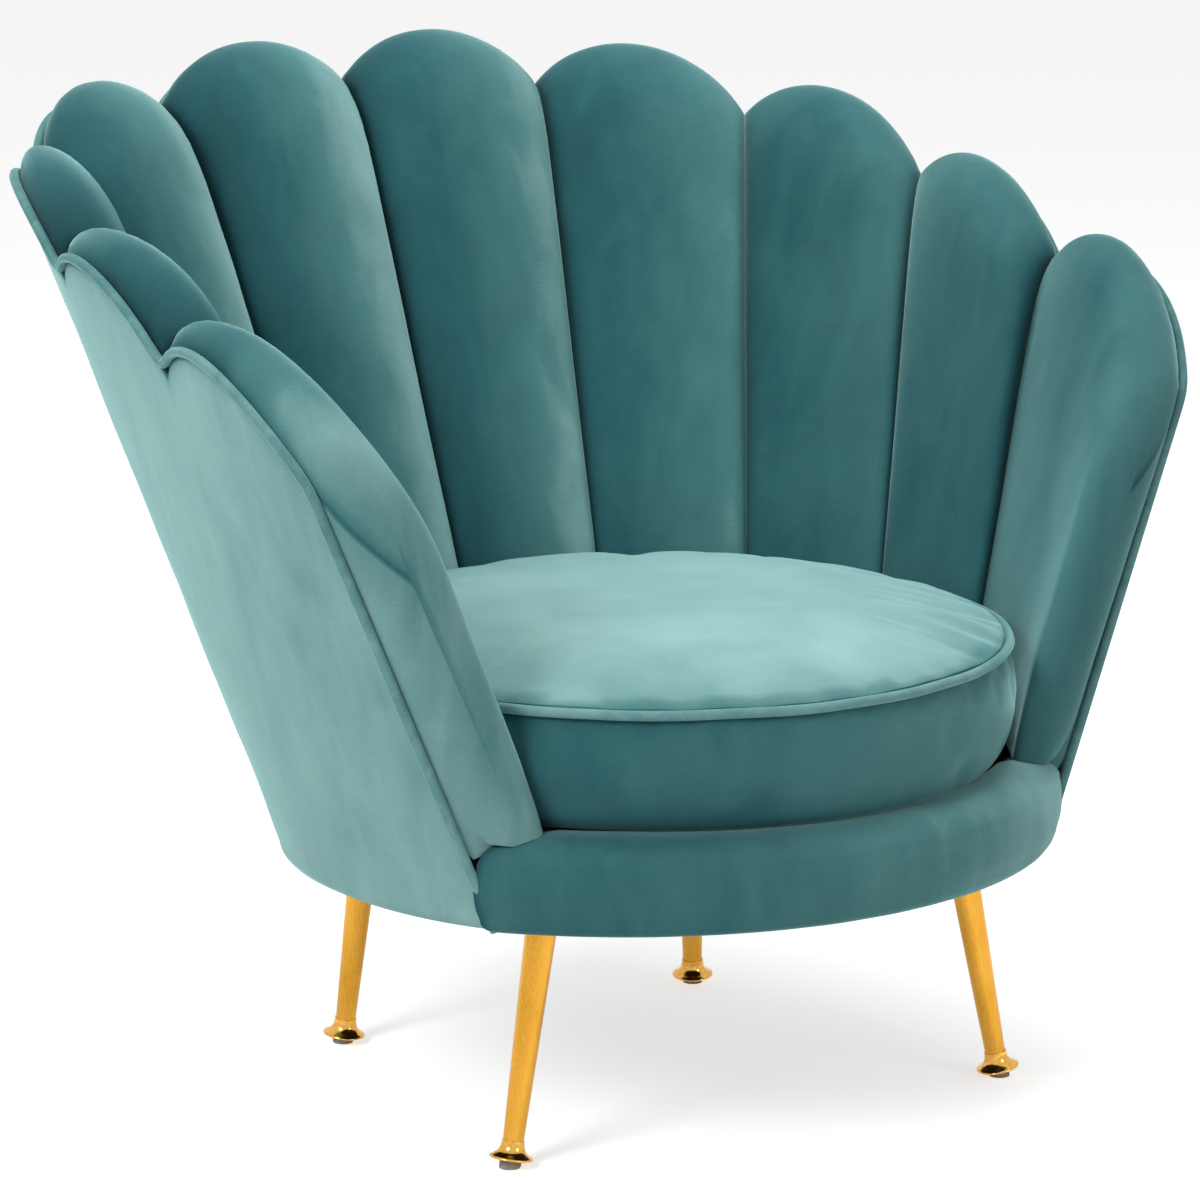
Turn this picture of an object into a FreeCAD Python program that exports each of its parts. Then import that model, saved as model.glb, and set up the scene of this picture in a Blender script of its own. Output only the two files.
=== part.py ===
import FreeCAD
import Part
import bisect
import math
import os

# Scallop back armchair, in millimetres. +Z is up, +Y is the back of the chair and X is its width.
# The origin is on the floor, under the middle of the chair.

# The shell is a flared wall. Its sewn seams are numbered 0 at the middle of the back to 5 at an arm
# front, and -5 at the other arm front. In plan, the wall follows a squared ellipse at its base and
# a larger one at the level of the valleys between the scallops.
seams_per_side = 5
base_level = 260.0
base_half_width = 339.0
base_half_depth = 323.0
base_centre_y = -131.2
base_fullness = 2.17
top_half_width = 449.0
top_half_depth = 491.0
top_centre_y = -65.2
top_fullness = 2.73
valley_height = 780.0
arm_drop = 195.0
arm_drop_power = 1.71

# Channels
base_channel_width = 132.0
arm_channel_width = 182.0
top_channel_width = 201.0
scallop_rise = 43.0
arm_scallop_rise = 50.0
scallop_roundness = 0.6
roll_height = 34.0
shoulder_drop = 20.0
arm_front_roll = 24.0
channel_gap = 0.15
seam_samples = (0.0, 0.05, 0.14, 0.26, 0.38, 0.5, 0.62, 0.74, 0.86, 0.95, 1.0)
end_samples = (0.0, 0.5, 1.0)
roll_facets = 5
face_facets = 6
seam_thickness = (36.0, 43.0, 45.0)
crown_thickness = (37.0, 64.0, 84.0)
arm_front_thickness = (68.0, 80.0, 84.0)
crown_sharpness = 0.6

# Shell layers
fit_gap = 0.3
hoop_gap = 1.0
cover_thickness = 3.5
frame_depth = 18.0
board_thickness = 4.0
rib_thickness = 15.0
post_thickness = 22.0
post_seam = 4.81
board_end_seam = 4.9
rib_top_margin = 12.0
hoop_level = 500.0
hoop_thickness = 15.0

# Base
underside_level = 209.0
edge_radius = 12.0
edge_facets = 3
hem_width = 15.0
base_board_thickness = 18.0
dust_cover_thickness = 1.0
front_centre_y = -72.2
front_radius = 378.0
front_rail_thickness = 22.0
front_rail_inset = 24.0
front_turn = 70.0
front_facets = 16
border_ledge = 40.0
border_lip = 48.0
border_shoulder_level = 264.0
border_bulge_level = 246.0
border_flap = 45.0
border_foot_inset = 4.0
border_facets = 4
seat_level = 276.0
cushion_level = 289.0
seat_hoop_width = 34.0
seat_hoop_thickness = 20.0
corner_block_size = 52.0
corner_block_seams = (1.9, 4.55)
corner_block_gap = 19.0

# Webbing and deck
strap_width = 55.0
strap_thickness = 1.7
strap_pitch = 90.0
straps_each_way = 5
strap_end_gap = 3.0
deck_inset = 14.0

# Loose seat cushion
cushion_radius = 301.0
cushion_centre_y = -123.2
cushion_piping_level = 388.0
cushion_crown = 26.0
cushion_side_bulge = 3.0
cushion_foot_inset = 18.0
cushion_cover_thickness = 3.0
cushion_sides = 30

# Piping cords
cord_radius = 4.0
cord_reach = 2.8
cord_inset = cord_reach - cord_radius
cord_sides = 8

# Legs. Each foot's place on the floor and each leg's place under the base are (x, y).
front_foot = (246.0, -288.2)
front_leg_top = (208.0, -278.2)
back_foot = (183.0, 100.8)
back_leg_top = (167.0, 81.8)
leg_top_radius = 13.5
leg_foot_radius = 8.75
leg_wall = 1.5
disc_radius = 18.5
disc_neck_radius = 9.6
disc_height = 16.0
disc_rim = 2.5
disc_level = 7.0
spigot_length = 14.0
spigot_gap = 0.3
leg_sides = 24
glide_radius = 9.0
plate_radius = 17.0
plate_thickness = 3.0
stud_radius = 4.0
stud_clearance = 0.3
nut_width = 13.0
nut_height = 6.5

parts_folder = "parts"
flat_limit = 1.0e-6


def vector(x, y, z):
    return FreeCAD.Vector(x, y, z)


# Plan outlines of the shell

def walk(half_width, half_depth, centre_y, fullness):
    """Points along half a squared ellipse, from the middle of the back, with the length so far."""
    power = 2.0 / fullness
    rows = [(0.0, 0.0, centre_y + half_depth)]
    for step in range(1, 641):
        angle = math.radians(step * 0.25)
        cosine = math.cos(angle)
        x = half_width * math.sin(angle) ** power
        y = centre_y + half_depth * math.copysign(abs(cosine) ** power, cosine)
        length = rows[-1][0] + math.hypot(x - rows[-1][1], y - rows[-1][2])
        rows.append((length, x, y))
    return rows


def point_at(rows, length):
    """The place on a walked outline at this length from the middle of the back."""
    index = bisect.bisect_left(rows, (length, 0.0, 0.0))
    index = min(max(index, 1), len(rows) - 1)
    before = rows[index - 1]
    after = rows[index]
    share = (length - before[0]) / (after[0] - before[0])
    return (before[1] + share * (after[1] - before[1]), before[2] + share * (after[2] - before[2]))


base_outline = walk(base_half_width, base_half_depth, base_centre_y, base_fullness)
top_outline = walk(top_half_width, top_half_depth, top_centre_y, top_fullness)


class Station:
    """The upright plane of the shell at one place along the seams, which may be a fraction."""

    def __init__(self, seam):
        side = -1.0 if seam < 0 else 1.0
        count = abs(seam)
        plain = min(count, seams_per_side - 1)
        base = point_at(base_outline, plain * base_channel_width + (count - plain) * arm_channel_width)
        top = point_at(top_outline, count * top_channel_width)
        self.reach = math.hypot(top[0] - base[0], top[1] - base[1])
        self.x = side * base[0]
        self.y = base[1]
        self.out_x = side * (top[0] - base[0]) / self.reach
        self.out_y = (top[1] - base[1]) / self.reach
        self.seam = seam
        self.valley = valley_height - arm_drop * (count / seams_per_side) ** arm_drop_power
        self.slope = self.reach / (self.valley - base_level)
        within = count - math.floor(count)
        if count >= seams_per_side:
            within = 0.0
        in_arm = count > seams_per_side - 1
        rise = arm_scallop_rise if in_arm else scallop_rise
        self.edge = self.valley + rise * bump(within)

    def radial(self, inset, z):
        """Distance outwards from the base line, of a place this far inside the outer face."""
        return self.slope * (z - base_level) - inset

    def at(self, inset, z):
        """A place this far inside the outer face of the flared wall, at height z."""
        return self.place(self.radial(inset, z), z)

    def place(self, radial, z):
        return vector(self.x + self.out_x * radial, self.y + self.out_y * radial, z)

    def along(self):
        """The level direction across this plane."""
        return vector(-self.out_y, self.out_x, 0)


def bump(within):
    """A round scallop between two valleys: 0 at its ends and 1 in the middle."""
    foot = math.sqrt(1.0 - scallop_roundness)
    height = math.sqrt(1.0 - scallop_roundness * (2.0 * within - 1.0) ** 2)
    return (height - foot) / (1.0 - foot)


# Shape helpers

def arc_points(start, middle, end, facets):
    """The points of an arc between its two ends, which are left out."""
    return Part.Arc(start, middle, end).toShape().discretize(facets + 1)[1:-1]


def polygon(points):
    return Part.makePolygon(points + [points[0]])


def facet(a, b, c, d):
    """A flat face through four corners, or two where the four don't lie in one plane.

    Side a to b is on the first outline. The two faces meet from its lower end, so that layers
    lofted over one another keep their distance.
    """
    off_plane = (b - a).cross(c - a).normalize().dot(d - a)
    if abs(off_plane) < flat_limit:
        return [Part.Face(polygon([a, b, c, d]))]
    if b.z > a.z:
        return [Part.Face(polygon([a, b, c])), Part.Face(polygon([a, c, d]))]
    return [Part.Face(polygon([a, b, d])), Part.Face(polygon([b, c, d]))]


def loft(outlines):
    """A solid with flat facets from each outline to the next. An outline is a list of corners."""
    faces = [Part.Face(polygon(outlines[0])), Part.Face(polygon(outlines[-1]))]
    for first, second in zip(outlines[:-1], outlines[1:]):
        for index in range(len(first)):
            after = (index + 1) % len(first)
            faces += facet(first[index], first[after], second[after], second[index])
    solid = Part.Solid(Part.makeShell(faces))
    if solid.Volume < 0:
        solid.reverse()
    return solid


def fuse(solids):
    return solids[0].multiFuse(solids[1:]).removeSplitter() if len(solids) > 1 else solids[0]


def group(solids):
    return Part.makeCompound(solids)


def upright_box(station, inner, outer, low, high, width):
    """A box across a station's plane, between two radial distances and two heights."""
    half = station.along() * (width / 2.0)
    corners = [station.place(inner, low), station.place(outer, low),
               station.place(outer, high), station.place(inner, high)]
    face = Part.Face(polygon([corner - half for corner in corners]))
    return face.extrude(half * 2.0)


def slab(station, points, thickness):
    """A flat plate in a station's plane, of this thickness, centred on the plane."""
    half = station.along() * (thickness / 2.0)
    face = Part.Face(polygon([point - half for point in points]))
    return face.extrude(half * 2.0)


# Channels of the back and arms

def crown_share(within):
    return max(0.0, math.sin(math.pi * within)) ** crown_sharpness


def blend(low, high, share):
    return [a + (b - a) * share for a, b in zip(low, high)]


def channel_thickness(within, in_arm):
    """Padding inside the outer face: at the seat, halfway up and at the shoulder."""
    if in_arm:
        foot = blend(seam_thickness, arm_front_thickness, within ** 2)
        share = crown_share(within) if within < 0.5 else 1.0
        return blend(foot, arm_front_thickness, share * within ** 0.5)
    return blend(seam_thickness, crown_thickness, crown_share(within))


def pad_section(station, back, thickness, low, narrow=1.0, sink=0.0):
    """The padding in one upright plane: back, ledge on the frame, rolled top, inner face and foot.

    Past the arm front, the section narrows towards its middle and its top sinks.
    """
    foot, halfway, shoulder = thickness
    centre = 0.5 * shoulder

    def spot(inset, z):
        return station.at(centre + (inset - centre) * narrow, z)

    rim = cover_thickness + fit_gap
    ledge = station.edge + fit_gap - sink
    shoulder_level = ledge - shoulder_drop
    summit_level = ledge + roll_height
    middle_level = (low + shoulder_level) / 2.0
    summit_inset = 0.45 * shoulder
    start = spot(rim, ledge)
    summit = spot(summit_inset, summit_level)
    shoulder_point = spot(shoulder, shoulder_level)
    outer_middle = spot(rim + 0.1 * shoulder, ledge + 0.62 * roll_height)
    inner_middle = spot(shoulder - 0.293 * (shoulder - summit_inset),
                        shoulder_level + 0.707 * (summit_level - shoulder_level))
    points = [spot(back, low), start]
    if back > rim:
        points.insert(1, spot(back, ledge))
    points += arc_points(start, outer_middle, summit, roll_facets) + [summit]
    points += arc_points(summit, inner_middle, shoulder_point, roll_facets) + [shoulder_point]
    points += arc_points(shoulder_point, spot(halfway, middle_level), spot(foot, low), face_facets)
    return points + [spot(foot, low)]


pad_back = cover_thickness + frame_depth + board_thickness + 3.0 * fit_gap
pad_foot = seat_level + 2.0 * (strap_thickness + fit_gap) + fit_gap


def stretch(first_seam, last_seam):
    """Stations from one seam to another, in order outwards from the middle of the back."""
    inner, outer = sorted((first_seam, last_seam), key=abs)
    shares = seam_samples if abs(outer - inner) > 0.5 else end_samples
    return [Station(inner + share * (outer - inner)) for share in shares]


def back_channel(first_seam):
    """One channel of the back, from a seam to the next."""
    margin = channel_gap / base_channel_width
    outlines = []
    for station in stretch(first_seam + margin, first_seam + 1.0 - margin):
        thickness = channel_thickness(abs(station.seam) % 1.0, False)
        outlines.append(pad_section(station, pad_back, thickness, pad_foot))
    return loft(outlines)


def arm_channel(side, front_border_block):
    """The last channel, which turns round the front of the arm to the piping on its outer edge."""
    first = seams_per_side - 1
    margin = channel_gap / base_channel_width
    outlines = []
    for station in stretch(side * (first + margin), side * board_end_seam):
        thickness = channel_thickness(abs(station.seam) - first, True)
        outlines.append(pad_section(station, pad_back, thickness, pad_foot))
    body = loft(outlines)
    rim = cover_thickness + fit_gap
    outlines = []
    for station in stretch(side * board_end_seam, side * float(seams_per_side)):
        thickness = channel_thickness(abs(station.seam) - first, True)
        outlines.append(pad_section(station, rim, thickness, pad_foot))
    for share in (0.45, 0.75, 0.92):
        station = Station(side * (seams_per_side + share * arm_front_roll / arm_channel_width))
        narrow = math.sqrt(1.0 - share ** 2)
        sink = (roll_height + shoulder_drop) * (1.0 - narrow)
        low = border_shoulder_level
        outlines.append(pad_section(station, rim, arm_front_thickness, low, narrow, sink))
    nose = loft(outlines).cut(front_border_block)
    return body.fuse(nose).removeSplitter()


# Shell layers

def strip(first_seam, last_seam, section):
    """A layer between two seams, lofted through its outline at the seam samples."""
    return loft([section(station) for station in stretch(first_seam, last_seam)])


def seam_ranges(end):
    """The stretches from valley to valley, with one more at each arm front if the layer goes on."""
    stops = [float(seam) for seam in range(1 - seams_per_side, seams_per_side)]
    stops = [-board_end_seam] + stops + [board_end_seam]
    if end > board_end_seam:
        stops = [-end] + stops + [end]
    return list(zip(stops[:-1], stops[1:]))


def cover_section(station):
    """The outer cover: down the flared outside, round the bottom edge and in to its stapled hem."""
    knee = underside_level + edge_radius
    knee_radial = station.radial(0.0, knee)
    turn = 0.293 * edge_radius
    foot = knee_radial - edge_radius
    inside = cover_thickness
    knee_point = station.place(knee_radial, knee)
    foot_point = station.place(foot, underside_level)
    turn_point = station.place(knee_radial - turn, underside_level + turn)
    points = [station.at(0.0, station.edge), knee_point]
    points += arc_points(knee_point, turn_point, foot_point, edge_facets) + [foot_point]
    return points + [
        station.place(foot - hem_width, underside_level),
        station.place(foot - hem_width, underside_level + inside),
        station.place(foot, underside_level + inside), station.place(knee_radial - inside, knee),
        station.at(inside, station.edge),
    ]


def outer_cover():
    return fuse([strip(first, last, cover_section) for first, last in seam_ranges(seams_per_side)])


board_inset = cover_thickness + frame_depth + 2.0 * fit_gap
base_board_top = underside_level + cover_thickness + fit_gap + base_board_thickness
frame_foot = base_board_top + fit_gap


def board_section(station):
    points = [station.at(board_inset, frame_foot), station.at(board_inset, station.edge),
              station.at(board_inset + board_thickness, station.edge),
              station.at(board_inset + board_thickness, frame_foot)]
    return points


def inner_shell_board():
    return fuse([strip(first, last, board_section) for first, last in seam_ranges(board_end_seam)])


def plate_ring(inset, width, low, high):
    """A level ply ring, open at the front, that keeps its distance inside the outer face."""
    def section(station):
        return [station.at(inset, low), station.at(inset, high),
                station.at(inset + width, high), station.at(inset + width, low)]
    return fuse([strip(first, last, section) for first, last in seam_ranges(board_end_seam)])


def side_of(station, low, high, way):
    """Everything on one side of a station's plane: behind an arm on its own side, or in front."""
    corners = [station.place(-240.0, low), station.place(160.0, low),
               station.place(160.0, high), station.place(-240.0, high)]
    return Part.Face(polygon(corners)).extrude(station.along() * (way * 400.0))


def upright_plate(seam, thickness, top):
    """A ply plate in a seam's plane, bevelled to fit between the outer cover and the inner board."""
    outside = cover_thickness + fit_gap
    inside = outside + frame_depth - fit_gap

    def section(station):
        return [station.at(outside, frame_foot), station.at(outside, top),
                station.at(inside, top), station.at(inside, frame_foot)]
    station = Station(seam)
    points = [station.at(-2.0 * frame_depth, frame_foot), station.at(-2.0 * frame_depth, top),
              station.at(3.0 * frame_depth, top), station.at(3.0 * frame_depth, frame_foot)]
    near = [pair for pair in seam_ranges(board_end_seam) if pair[0] <= seam <= pair[1]]
    space = fuse([strip(first, last, section) for first, last in near])
    return slab(station, points, thickness).common(space)


lap_inset = cover_thickness + fit_gap + frame_depth / 2.0
rib_seams = range(1 - seams_per_side, seams_per_side)


def back_rib(seam):
    """An upright ply rib behind a seam, notched on its inner edge for the hoop."""
    station = Station(seam)
    rib = upright_plate(seam, rib_thickness, station.valley - rib_top_margin)
    low = hoop_level - channel_gap
    high = hoop_level + hoop_thickness + channel_gap
    notch = upright_box(station, station.radial(3.0 * frame_depth, low),
                        station.radial(lap_inset, high), low, high, 2.0 * rib_thickness)
    return rib.cut(notch)


def mid_hoop():
    """The ply ring halfway up, slotted on its outer edge where it crosses each rib."""
    low = hoop_level
    high = hoop_level + hoop_thickness
    ring_plate = plate_ring(cover_thickness + hoop_gap, frame_depth - 2.0 * hoop_gap, low, high)
    slots = []
    for seam in rib_seams:
        station = Station(seam)
        slots.append(upright_box(station, station.radial(lap_inset + channel_gap, high),
                                 station.radial(-frame_depth, high), low - fit_gap,
                                 high + fit_gap, rib_thickness + 2.0 * channel_gap))
    for side in (-1.0, 1.0):
        station = Station(side * post_seam)
        room = station.along() * (side * (post_thickness / 2.0 + fit_gap))
        slots.append(side_of(station, low - fit_gap, high + fit_gap, -side).translated(room))
    return ring_plate.cut(slots)


def arm_post(side):
    top = Station(side * board_end_seam).edge - rib_top_margin
    return upright_plate(side * post_seam, post_thickness, top)


# Seat base

def front_meeting(side, radius, z):
    """Where the level arc of the seat front meets the plane of an arm front."""
    station = Station(side * seams_per_side)
    from_centre_x = station.x
    from_centre_y = station.y - front_centre_y
    half = from_centre_x * station.out_x + from_centre_y * station.out_y
    rest = from_centre_x ** 2 + from_centre_y ** 2 - radius ** 2
    return station.place(-half + math.sqrt(half ** 2 - rest), z)


def base_outline_points(shell_inset, front_inset, z):
    """The level outline of the seat base: inside the shell, and round inside the border."""
    points = []
    for first, last in seam_ranges(seams_per_side):
        for share in seam_samples[:-1:2]:
            points.append(Station(first + share * (last - first)).at(shell_inset, z))
    points.append(Station(seams_per_side).at(shell_inset, z))
    radius = front_radius - front_inset
    right = front_meeting(1.0, radius, z)
    start = math.atan2(right.y - front_centre_y, right.x)
    for step in range(front_facets + 1):
        angle = start + (-math.pi - 2.0 * start) * step / front_facets
        points.append(vector(radius * math.cos(angle), front_centre_y + radius * math.sin(angle), z))
    return points


def base_board(places):
    low = underside_level + cover_thickness + fit_gap
    corner = cover_thickness + 2.0 * fit_gap
    lower = base_outline_points(corner + edge_radius / 2.0, front_rail_inset + 8.0, low)
    upper = base_outline_points(corner, front_rail_inset + 2.0, base_board_top)
    board = loft([lower, upper])
    holes = [upright_round(place, stud_radius + stud_clearance, low - fit_gap,
                           2.0 * base_board_thickness) for place in places]
    return board.cut(holes)


def dust_cover(places):
    low = underside_level - fit_gap - dust_cover_thickness
    face = Part.Face(polygon(base_outline_points(edge_radius + 8.0, border_flap - 6.0, low)))
    sheet = face.extrude(vector(0, 0, dust_cover_thickness))
    holes = [upright_round(place, plate_radius + 1.0, low - dust_cover_thickness,
                           3.0 * dust_cover_thickness) for place in places]
    return sheet.cut(holes)


def swept_front(profile, seam, room=0.0):
    """A profile of (inset, height) carried round the seat's front, between the arm fronts.

    Its ends are cut in the planes of this seam, moved forward by some room.
    """
    outlines = []
    for step in range(front_facets + 1):
        angle = math.radians(front_turn * (2.0 * step / front_facets - 1.0))
        outlines.append([front_point(angle, inset, z) for inset, z in profile])
    low = underside_level - 50.0
    high = cushion_level + 50.0
    ends = []
    for side in (-1.0, 1.0):
        station = Station(side * seam)
        ends.append(side_of(station, low, high, side).translated(station.along() * (-side * room)))
    return loft(outlines).cut(ends)


def front_point(angle, inset, z):
    """A place this far inside the round front of the seat, at an angle from its middle."""
    radius = front_radius - inset
    return vector(radius * math.sin(angle), front_centre_y - radius * math.cos(angle), z)


def rounded(start, middle, end, facets):
    """An arc of a profile, from its start up to its end, as (inset, height) pairs."""
    inner = arc_points(*[vector(point[0], 0, point[1]) for point in (start, middle, end)], facets)
    return [start] + [(point.x, point.z) for point in inner] + [end]


def border_face():
    """The padded front of the border, from its ledge under the cushion to its bottom edge."""
    ledge = (border_ledge, cushion_level - fit_gap)
    shoulder = (2.0, border_shoulder_level)
    belly = (0.0, border_bulge_level)
    knee = (border_foot_inset, underside_level + edge_radius)
    foot = (border_foot_inset + edge_radius, underside_level)
    turn = 0.293 * edge_radius
    profile = rounded(ledge, (14.0, cushion_level - 6.0), shoulder, border_facets)[:-1]
    profile += rounded(shoulder, belly, knee, border_facets)[:-1]
    return profile + rounded(knee, (border_foot_inset + turn, underside_level + turn), foot, edge_facets)


def border_block():
    """All that the border takes up, with what is inside it."""
    inner = front_radius / 4.0
    profile = border_face() + [(inner, underside_level), (inner, cushion_level - fit_gap)]
    return swept_front(profile, seams_per_side)


def front_border():
    """The padded band under the cushion, wrapped over the front rail and under the base board."""
    top = cushion_level - fit_gap
    flap_top = underside_level + cover_thickness
    rail_face = front_rail_inset - fit_gap
    inside = [
        (border_flap, underside_level), (border_flap, flap_top),
        (front_rail_inset + 6.0, flap_top), (rail_face, base_board_top),
        (rail_face, seat_level + fit_gap), (border_lip, seat_level + fit_gap), (border_lip, top),
    ]
    room = 2.0 * (cord_radius + fit_gap)
    return swept_front(border_face() + inside, seams_per_side, room)


def front_rail():
    near = front_rail_inset
    far = front_rail_inset + front_rail_thickness
    profile = [(near, frame_foot), (near, seat_level), (far, seat_level), (far, frame_foot)]
    return swept_front(profile, board_end_seam)


hoop_inset = board_inset + board_thickness + hoop_gap


def seat_hoop():
    return plate_ring(hoop_inset, seat_hoop_width, seat_level - seat_hoop_thickness, seat_level)


def corner_block(seam):
    """A block between the base board and the seat hoop, near a leg."""
    station = Station(seam)
    high = seat_level - seat_hoop_thickness
    outer = station.radial(hoop_inset + corner_block_gap, frame_foot)
    return upright_box(station, outer - corner_block_size, outer, frame_foot, high,
                       corner_block_size)


def seat_opening(offset, along_y):
    """Where a line across the seat, this far from an axis, meets the middle of the seat hoop."""
    inset = hoop_inset + 0.8 * seat_hoop_width
    wide = base_half_width - inset
    deep = base_half_depth - inset
    if along_y:
        back = base_centre_y + deep * (1.0 - (offset / wide) ** 2) ** 0.5
        radius = front_radius - border_lip - strap_end_gap
        return front_centre_y - math.sqrt(radius ** 2 - offset ** 2), back
    half = wide * (1.0 - ((offset - base_centre_y) / deep) ** 2) ** 0.5
    return -half, half


def strap_span(offset, along_y):
    """A strap's two ends, kept inside the opening at both of its edges."""
    spans = [seat_opening(offset + side * strap_width / 2.0, along_y) for side in (-1.0, 1.0)]
    return max(span[0] for span in spans), min(span[1] for span in spans)


def webbing(along_y):
    """Flat elastic straps across the seat, one layer each way."""
    low = seat_level + fit_gap
    if not along_y:
        low += strap_thickness + fit_gap
    straps = []
    for index in range(straps_each_way):
        offset = (index - (straps_each_way - 1) / 2.0) * strap_pitch
        if not along_y:
            offset += base_centre_y
        start, end = strap_span(offset, along_y)
        corner = vector(offset - strap_width / 2.0, start, low)
        size = (strap_width, end - start)
        if not along_y:
            corner = vector(start, offset - strap_width / 2.0, low)
            size = (end - start, strap_width)
        straps.append(Part.makeBox(size[0], size[1], strap_thickness, corner))
    return group(straps)


# Loose cushion

def cushion_outline(radius, z):
    """One level of the round cushion, with flat facets."""
    points = []
    for side in range(cushion_sides):
        angle = 2.0 * math.pi * side / cushion_sides
        points.append(vector(radius * math.cos(angle), cushion_centre_y + radius * math.sin(angle), z))
    return points


def cushion_levels(inset):
    """The cushion's radius and height at each level, this far inside its outer face."""
    half = cushion_radius - inset
    low = cushion_level + inset
    top = cushion_piping_level + cushion_crown - inset
    side = cushion_piping_level - low
    levels = [(half - cushion_foot_inset, low), (half - 0.35 * cushion_foot_inset, low + 0.12 * side),
              (half + cushion_side_bulge, low + 0.45 * side),
              (half + 0.5 * cushion_side_bulge, low + 0.8 * side)]
    groove = cord_radius + fit_gap
    levels.append((half - 0.4 * groove, cushion_piping_level - groove))
    levels.append((half - 1.5 * groove, cushion_piping_level))
    levels.append((half - 0.4 * groove, cushion_piping_level + groove))
    rim = cushion_piping_level + groove
    for share in (0.92, 0.8, 0.6, 0.3):
        levels.append((half * share, top - (top - rim) * share ** 3))
    return levels


def cushion_solid(inset):
    return loft([cushion_outline(radius, z) for radius, z in cushion_levels(inset)])


def cushion_cover():
    """The boxed cover: flat foot, bulging side, a groove for the cord and a crowned top."""
    return cushion_solid(0.0).cut(cushion_solid(cushion_cover_thickness))


def cushion_foam():
    return cushion_solid(cushion_cover_thickness + fit_gap)


def cushion_piping():
    """The cord sewn round the top edge of the cushion, as two halves joined."""
    halves = []
    for first in (0, cushion_sides // 2):
        wires = []
        for side in range(first, first + cushion_sides // 2 + 1):
            angle = 2.0 * math.pi * side / cushion_sides
            outward = vector(math.cos(angle), math.sin(angle), 0)
            centre = outward * cushion_radius
            centre += vector(0, cushion_centre_y, cushion_piping_level)
            wires.append(ring(centre, vector(-outward.y, outward.x, 0), outward, cord_radius))
        halves.append(loft(wires))
    return fuse(halves)


def deck_pad():
    """The felt pad that covers the webbing, under the loose cushion."""
    radius = cushion_radius - cushion_foot_inset - deck_inset
    face = Part.Face(polygon(cushion_outline(radius, pad_foot)))
    return face.extrude(vector(0, 0, cushion_level - fit_gap - pad_foot))


# Piping round the shell

def ring(centre, ahead, outward, radius):
    """A cord's eight-sided section, square to its run."""
    sideways = ahead.cross(outward).normalize()
    outward = sideways.cross(ahead).normalize()
    points = []
    for corner in range(cord_sides):
        angle = 2.0 * math.pi * corner / cord_sides
        points.append(centre + outward * (radius * math.cos(angle))
                      + sideways * (radius * math.sin(angle)))
    return points


def edge_slope(seam):
    """How steeply the scalloped edge climbs, measured towards the middle of its scallop."""
    step = 0.01
    inward = step if abs(seam) % 1.0 < 0.5 else -step
    if abs(seam) == seams_per_side:
        inward = -step
    inward = math.copysign(inward, seam) if inward > 0.0 else -math.copysign(step, seam)
    here = Station(seam)
    there = Station(seam + inward)
    run = here.at(0.0, here.edge) - there.at(0.0, there.edge)
    return run.z / math.hypot(run.x, run.y)


def edge_cord_centre(seam):
    """The cord's middle on the scalloped edge, or just in front of an arm at its last seam."""
    station = Station(seam)
    lift = (cord_radius + fit_gap) * math.sqrt(1.0 + edge_slope(seam) ** 2)
    centre = station.at(cord_inset, station.edge + lift)
    if abs(seam) == seams_per_side:
        centre += arm_forward(seam)
    return centre


def arm_forward(seam):
    """The step from the end of the outer cover to the middle of the cord in front of it."""
    return Station(seam).along() * (-math.copysign(cord_radius + fit_gap, seam))


def arm_cord_foot(seam):
    return Station(seam).at(cord_inset, underside_level) + arm_forward(seam)


def outline_piping():
    """One cord up an arm front, along the scalloped edge and down the other arm front."""
    centres = [arm_cord_foot(-seams_per_side)]
    seams = [-seams_per_side]
    for first, last in seam_ranges(seams_per_side):
        shares = seam_samples if last - first > 0.5 else end_samples
        for share in shares[:-1]:
            seam = first + share * (last - first)
            centres.append(edge_cord_centre(seam))
            seams.append(seam)
    centres += [edge_cord_centre(seams_per_side), arm_cord_foot(seams_per_side)]
    seams += [seams_per_side, seams_per_side]
    outlines = []
    for index, centre in enumerate(centres):
        before = centre - centres[max(index - 1, 0)]
        after = centres[min(index + 1, len(centres) - 1)] - centre
        ahead = vector(0, 0, 0)
        for run in (before, after):
            if run.Length > 0.0:
                ahead += run.normalize()
        station = Station(seams[index])
        outward = vector(station.out_x, station.out_y, 0)
        outlines.append(ring(centre, ahead.normalize(), outward, cord_radius))
    return loft(outlines)


# Legs

def leg_line(foot, top):
    """A leg's axis, from the middle of its disc up to the base."""
    start = vector(foot[0], foot[1], disc_level)
    end = vector(top[0], top[1], plate_level)
    return start, end, (end - start).normalize()


plate_level = underside_level + cover_thickness + fit_gap - plate_thickness


def round_outline(centre, axis, radius, level=None):
    """A leg's round outline square to its axis, or run along the axis to a level plane."""
    across = vector(0, 1, 0).cross(axis).normalize()
    beside = axis.cross(across)
    points = []
    for side in range(leg_sides):
        angle = 2.0 * math.pi * side / leg_sides
        point = centre + across * (radius * math.cos(angle)) + beside * (radius * math.sin(angle))
        if level is not None:
            point += axis * ((level - point.z) / axis.z)
        points.append(point)
    return points


def leg_tube(foot, top):
    """A tapered steel tube, cut level where it meets its plate."""
    start, end, axis = leg_line(foot, top)
    low = start + axis * disc_height
    tubes = []
    for wall in (0.0, leg_wall):
        tubes.append(loft([round_outline(low, axis, leg_foot_radius - wall),
                           round_outline(end, axis, leg_top_radius - wall, plate_level)]))
    return tubes[0].cut(tubes[1])


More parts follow.
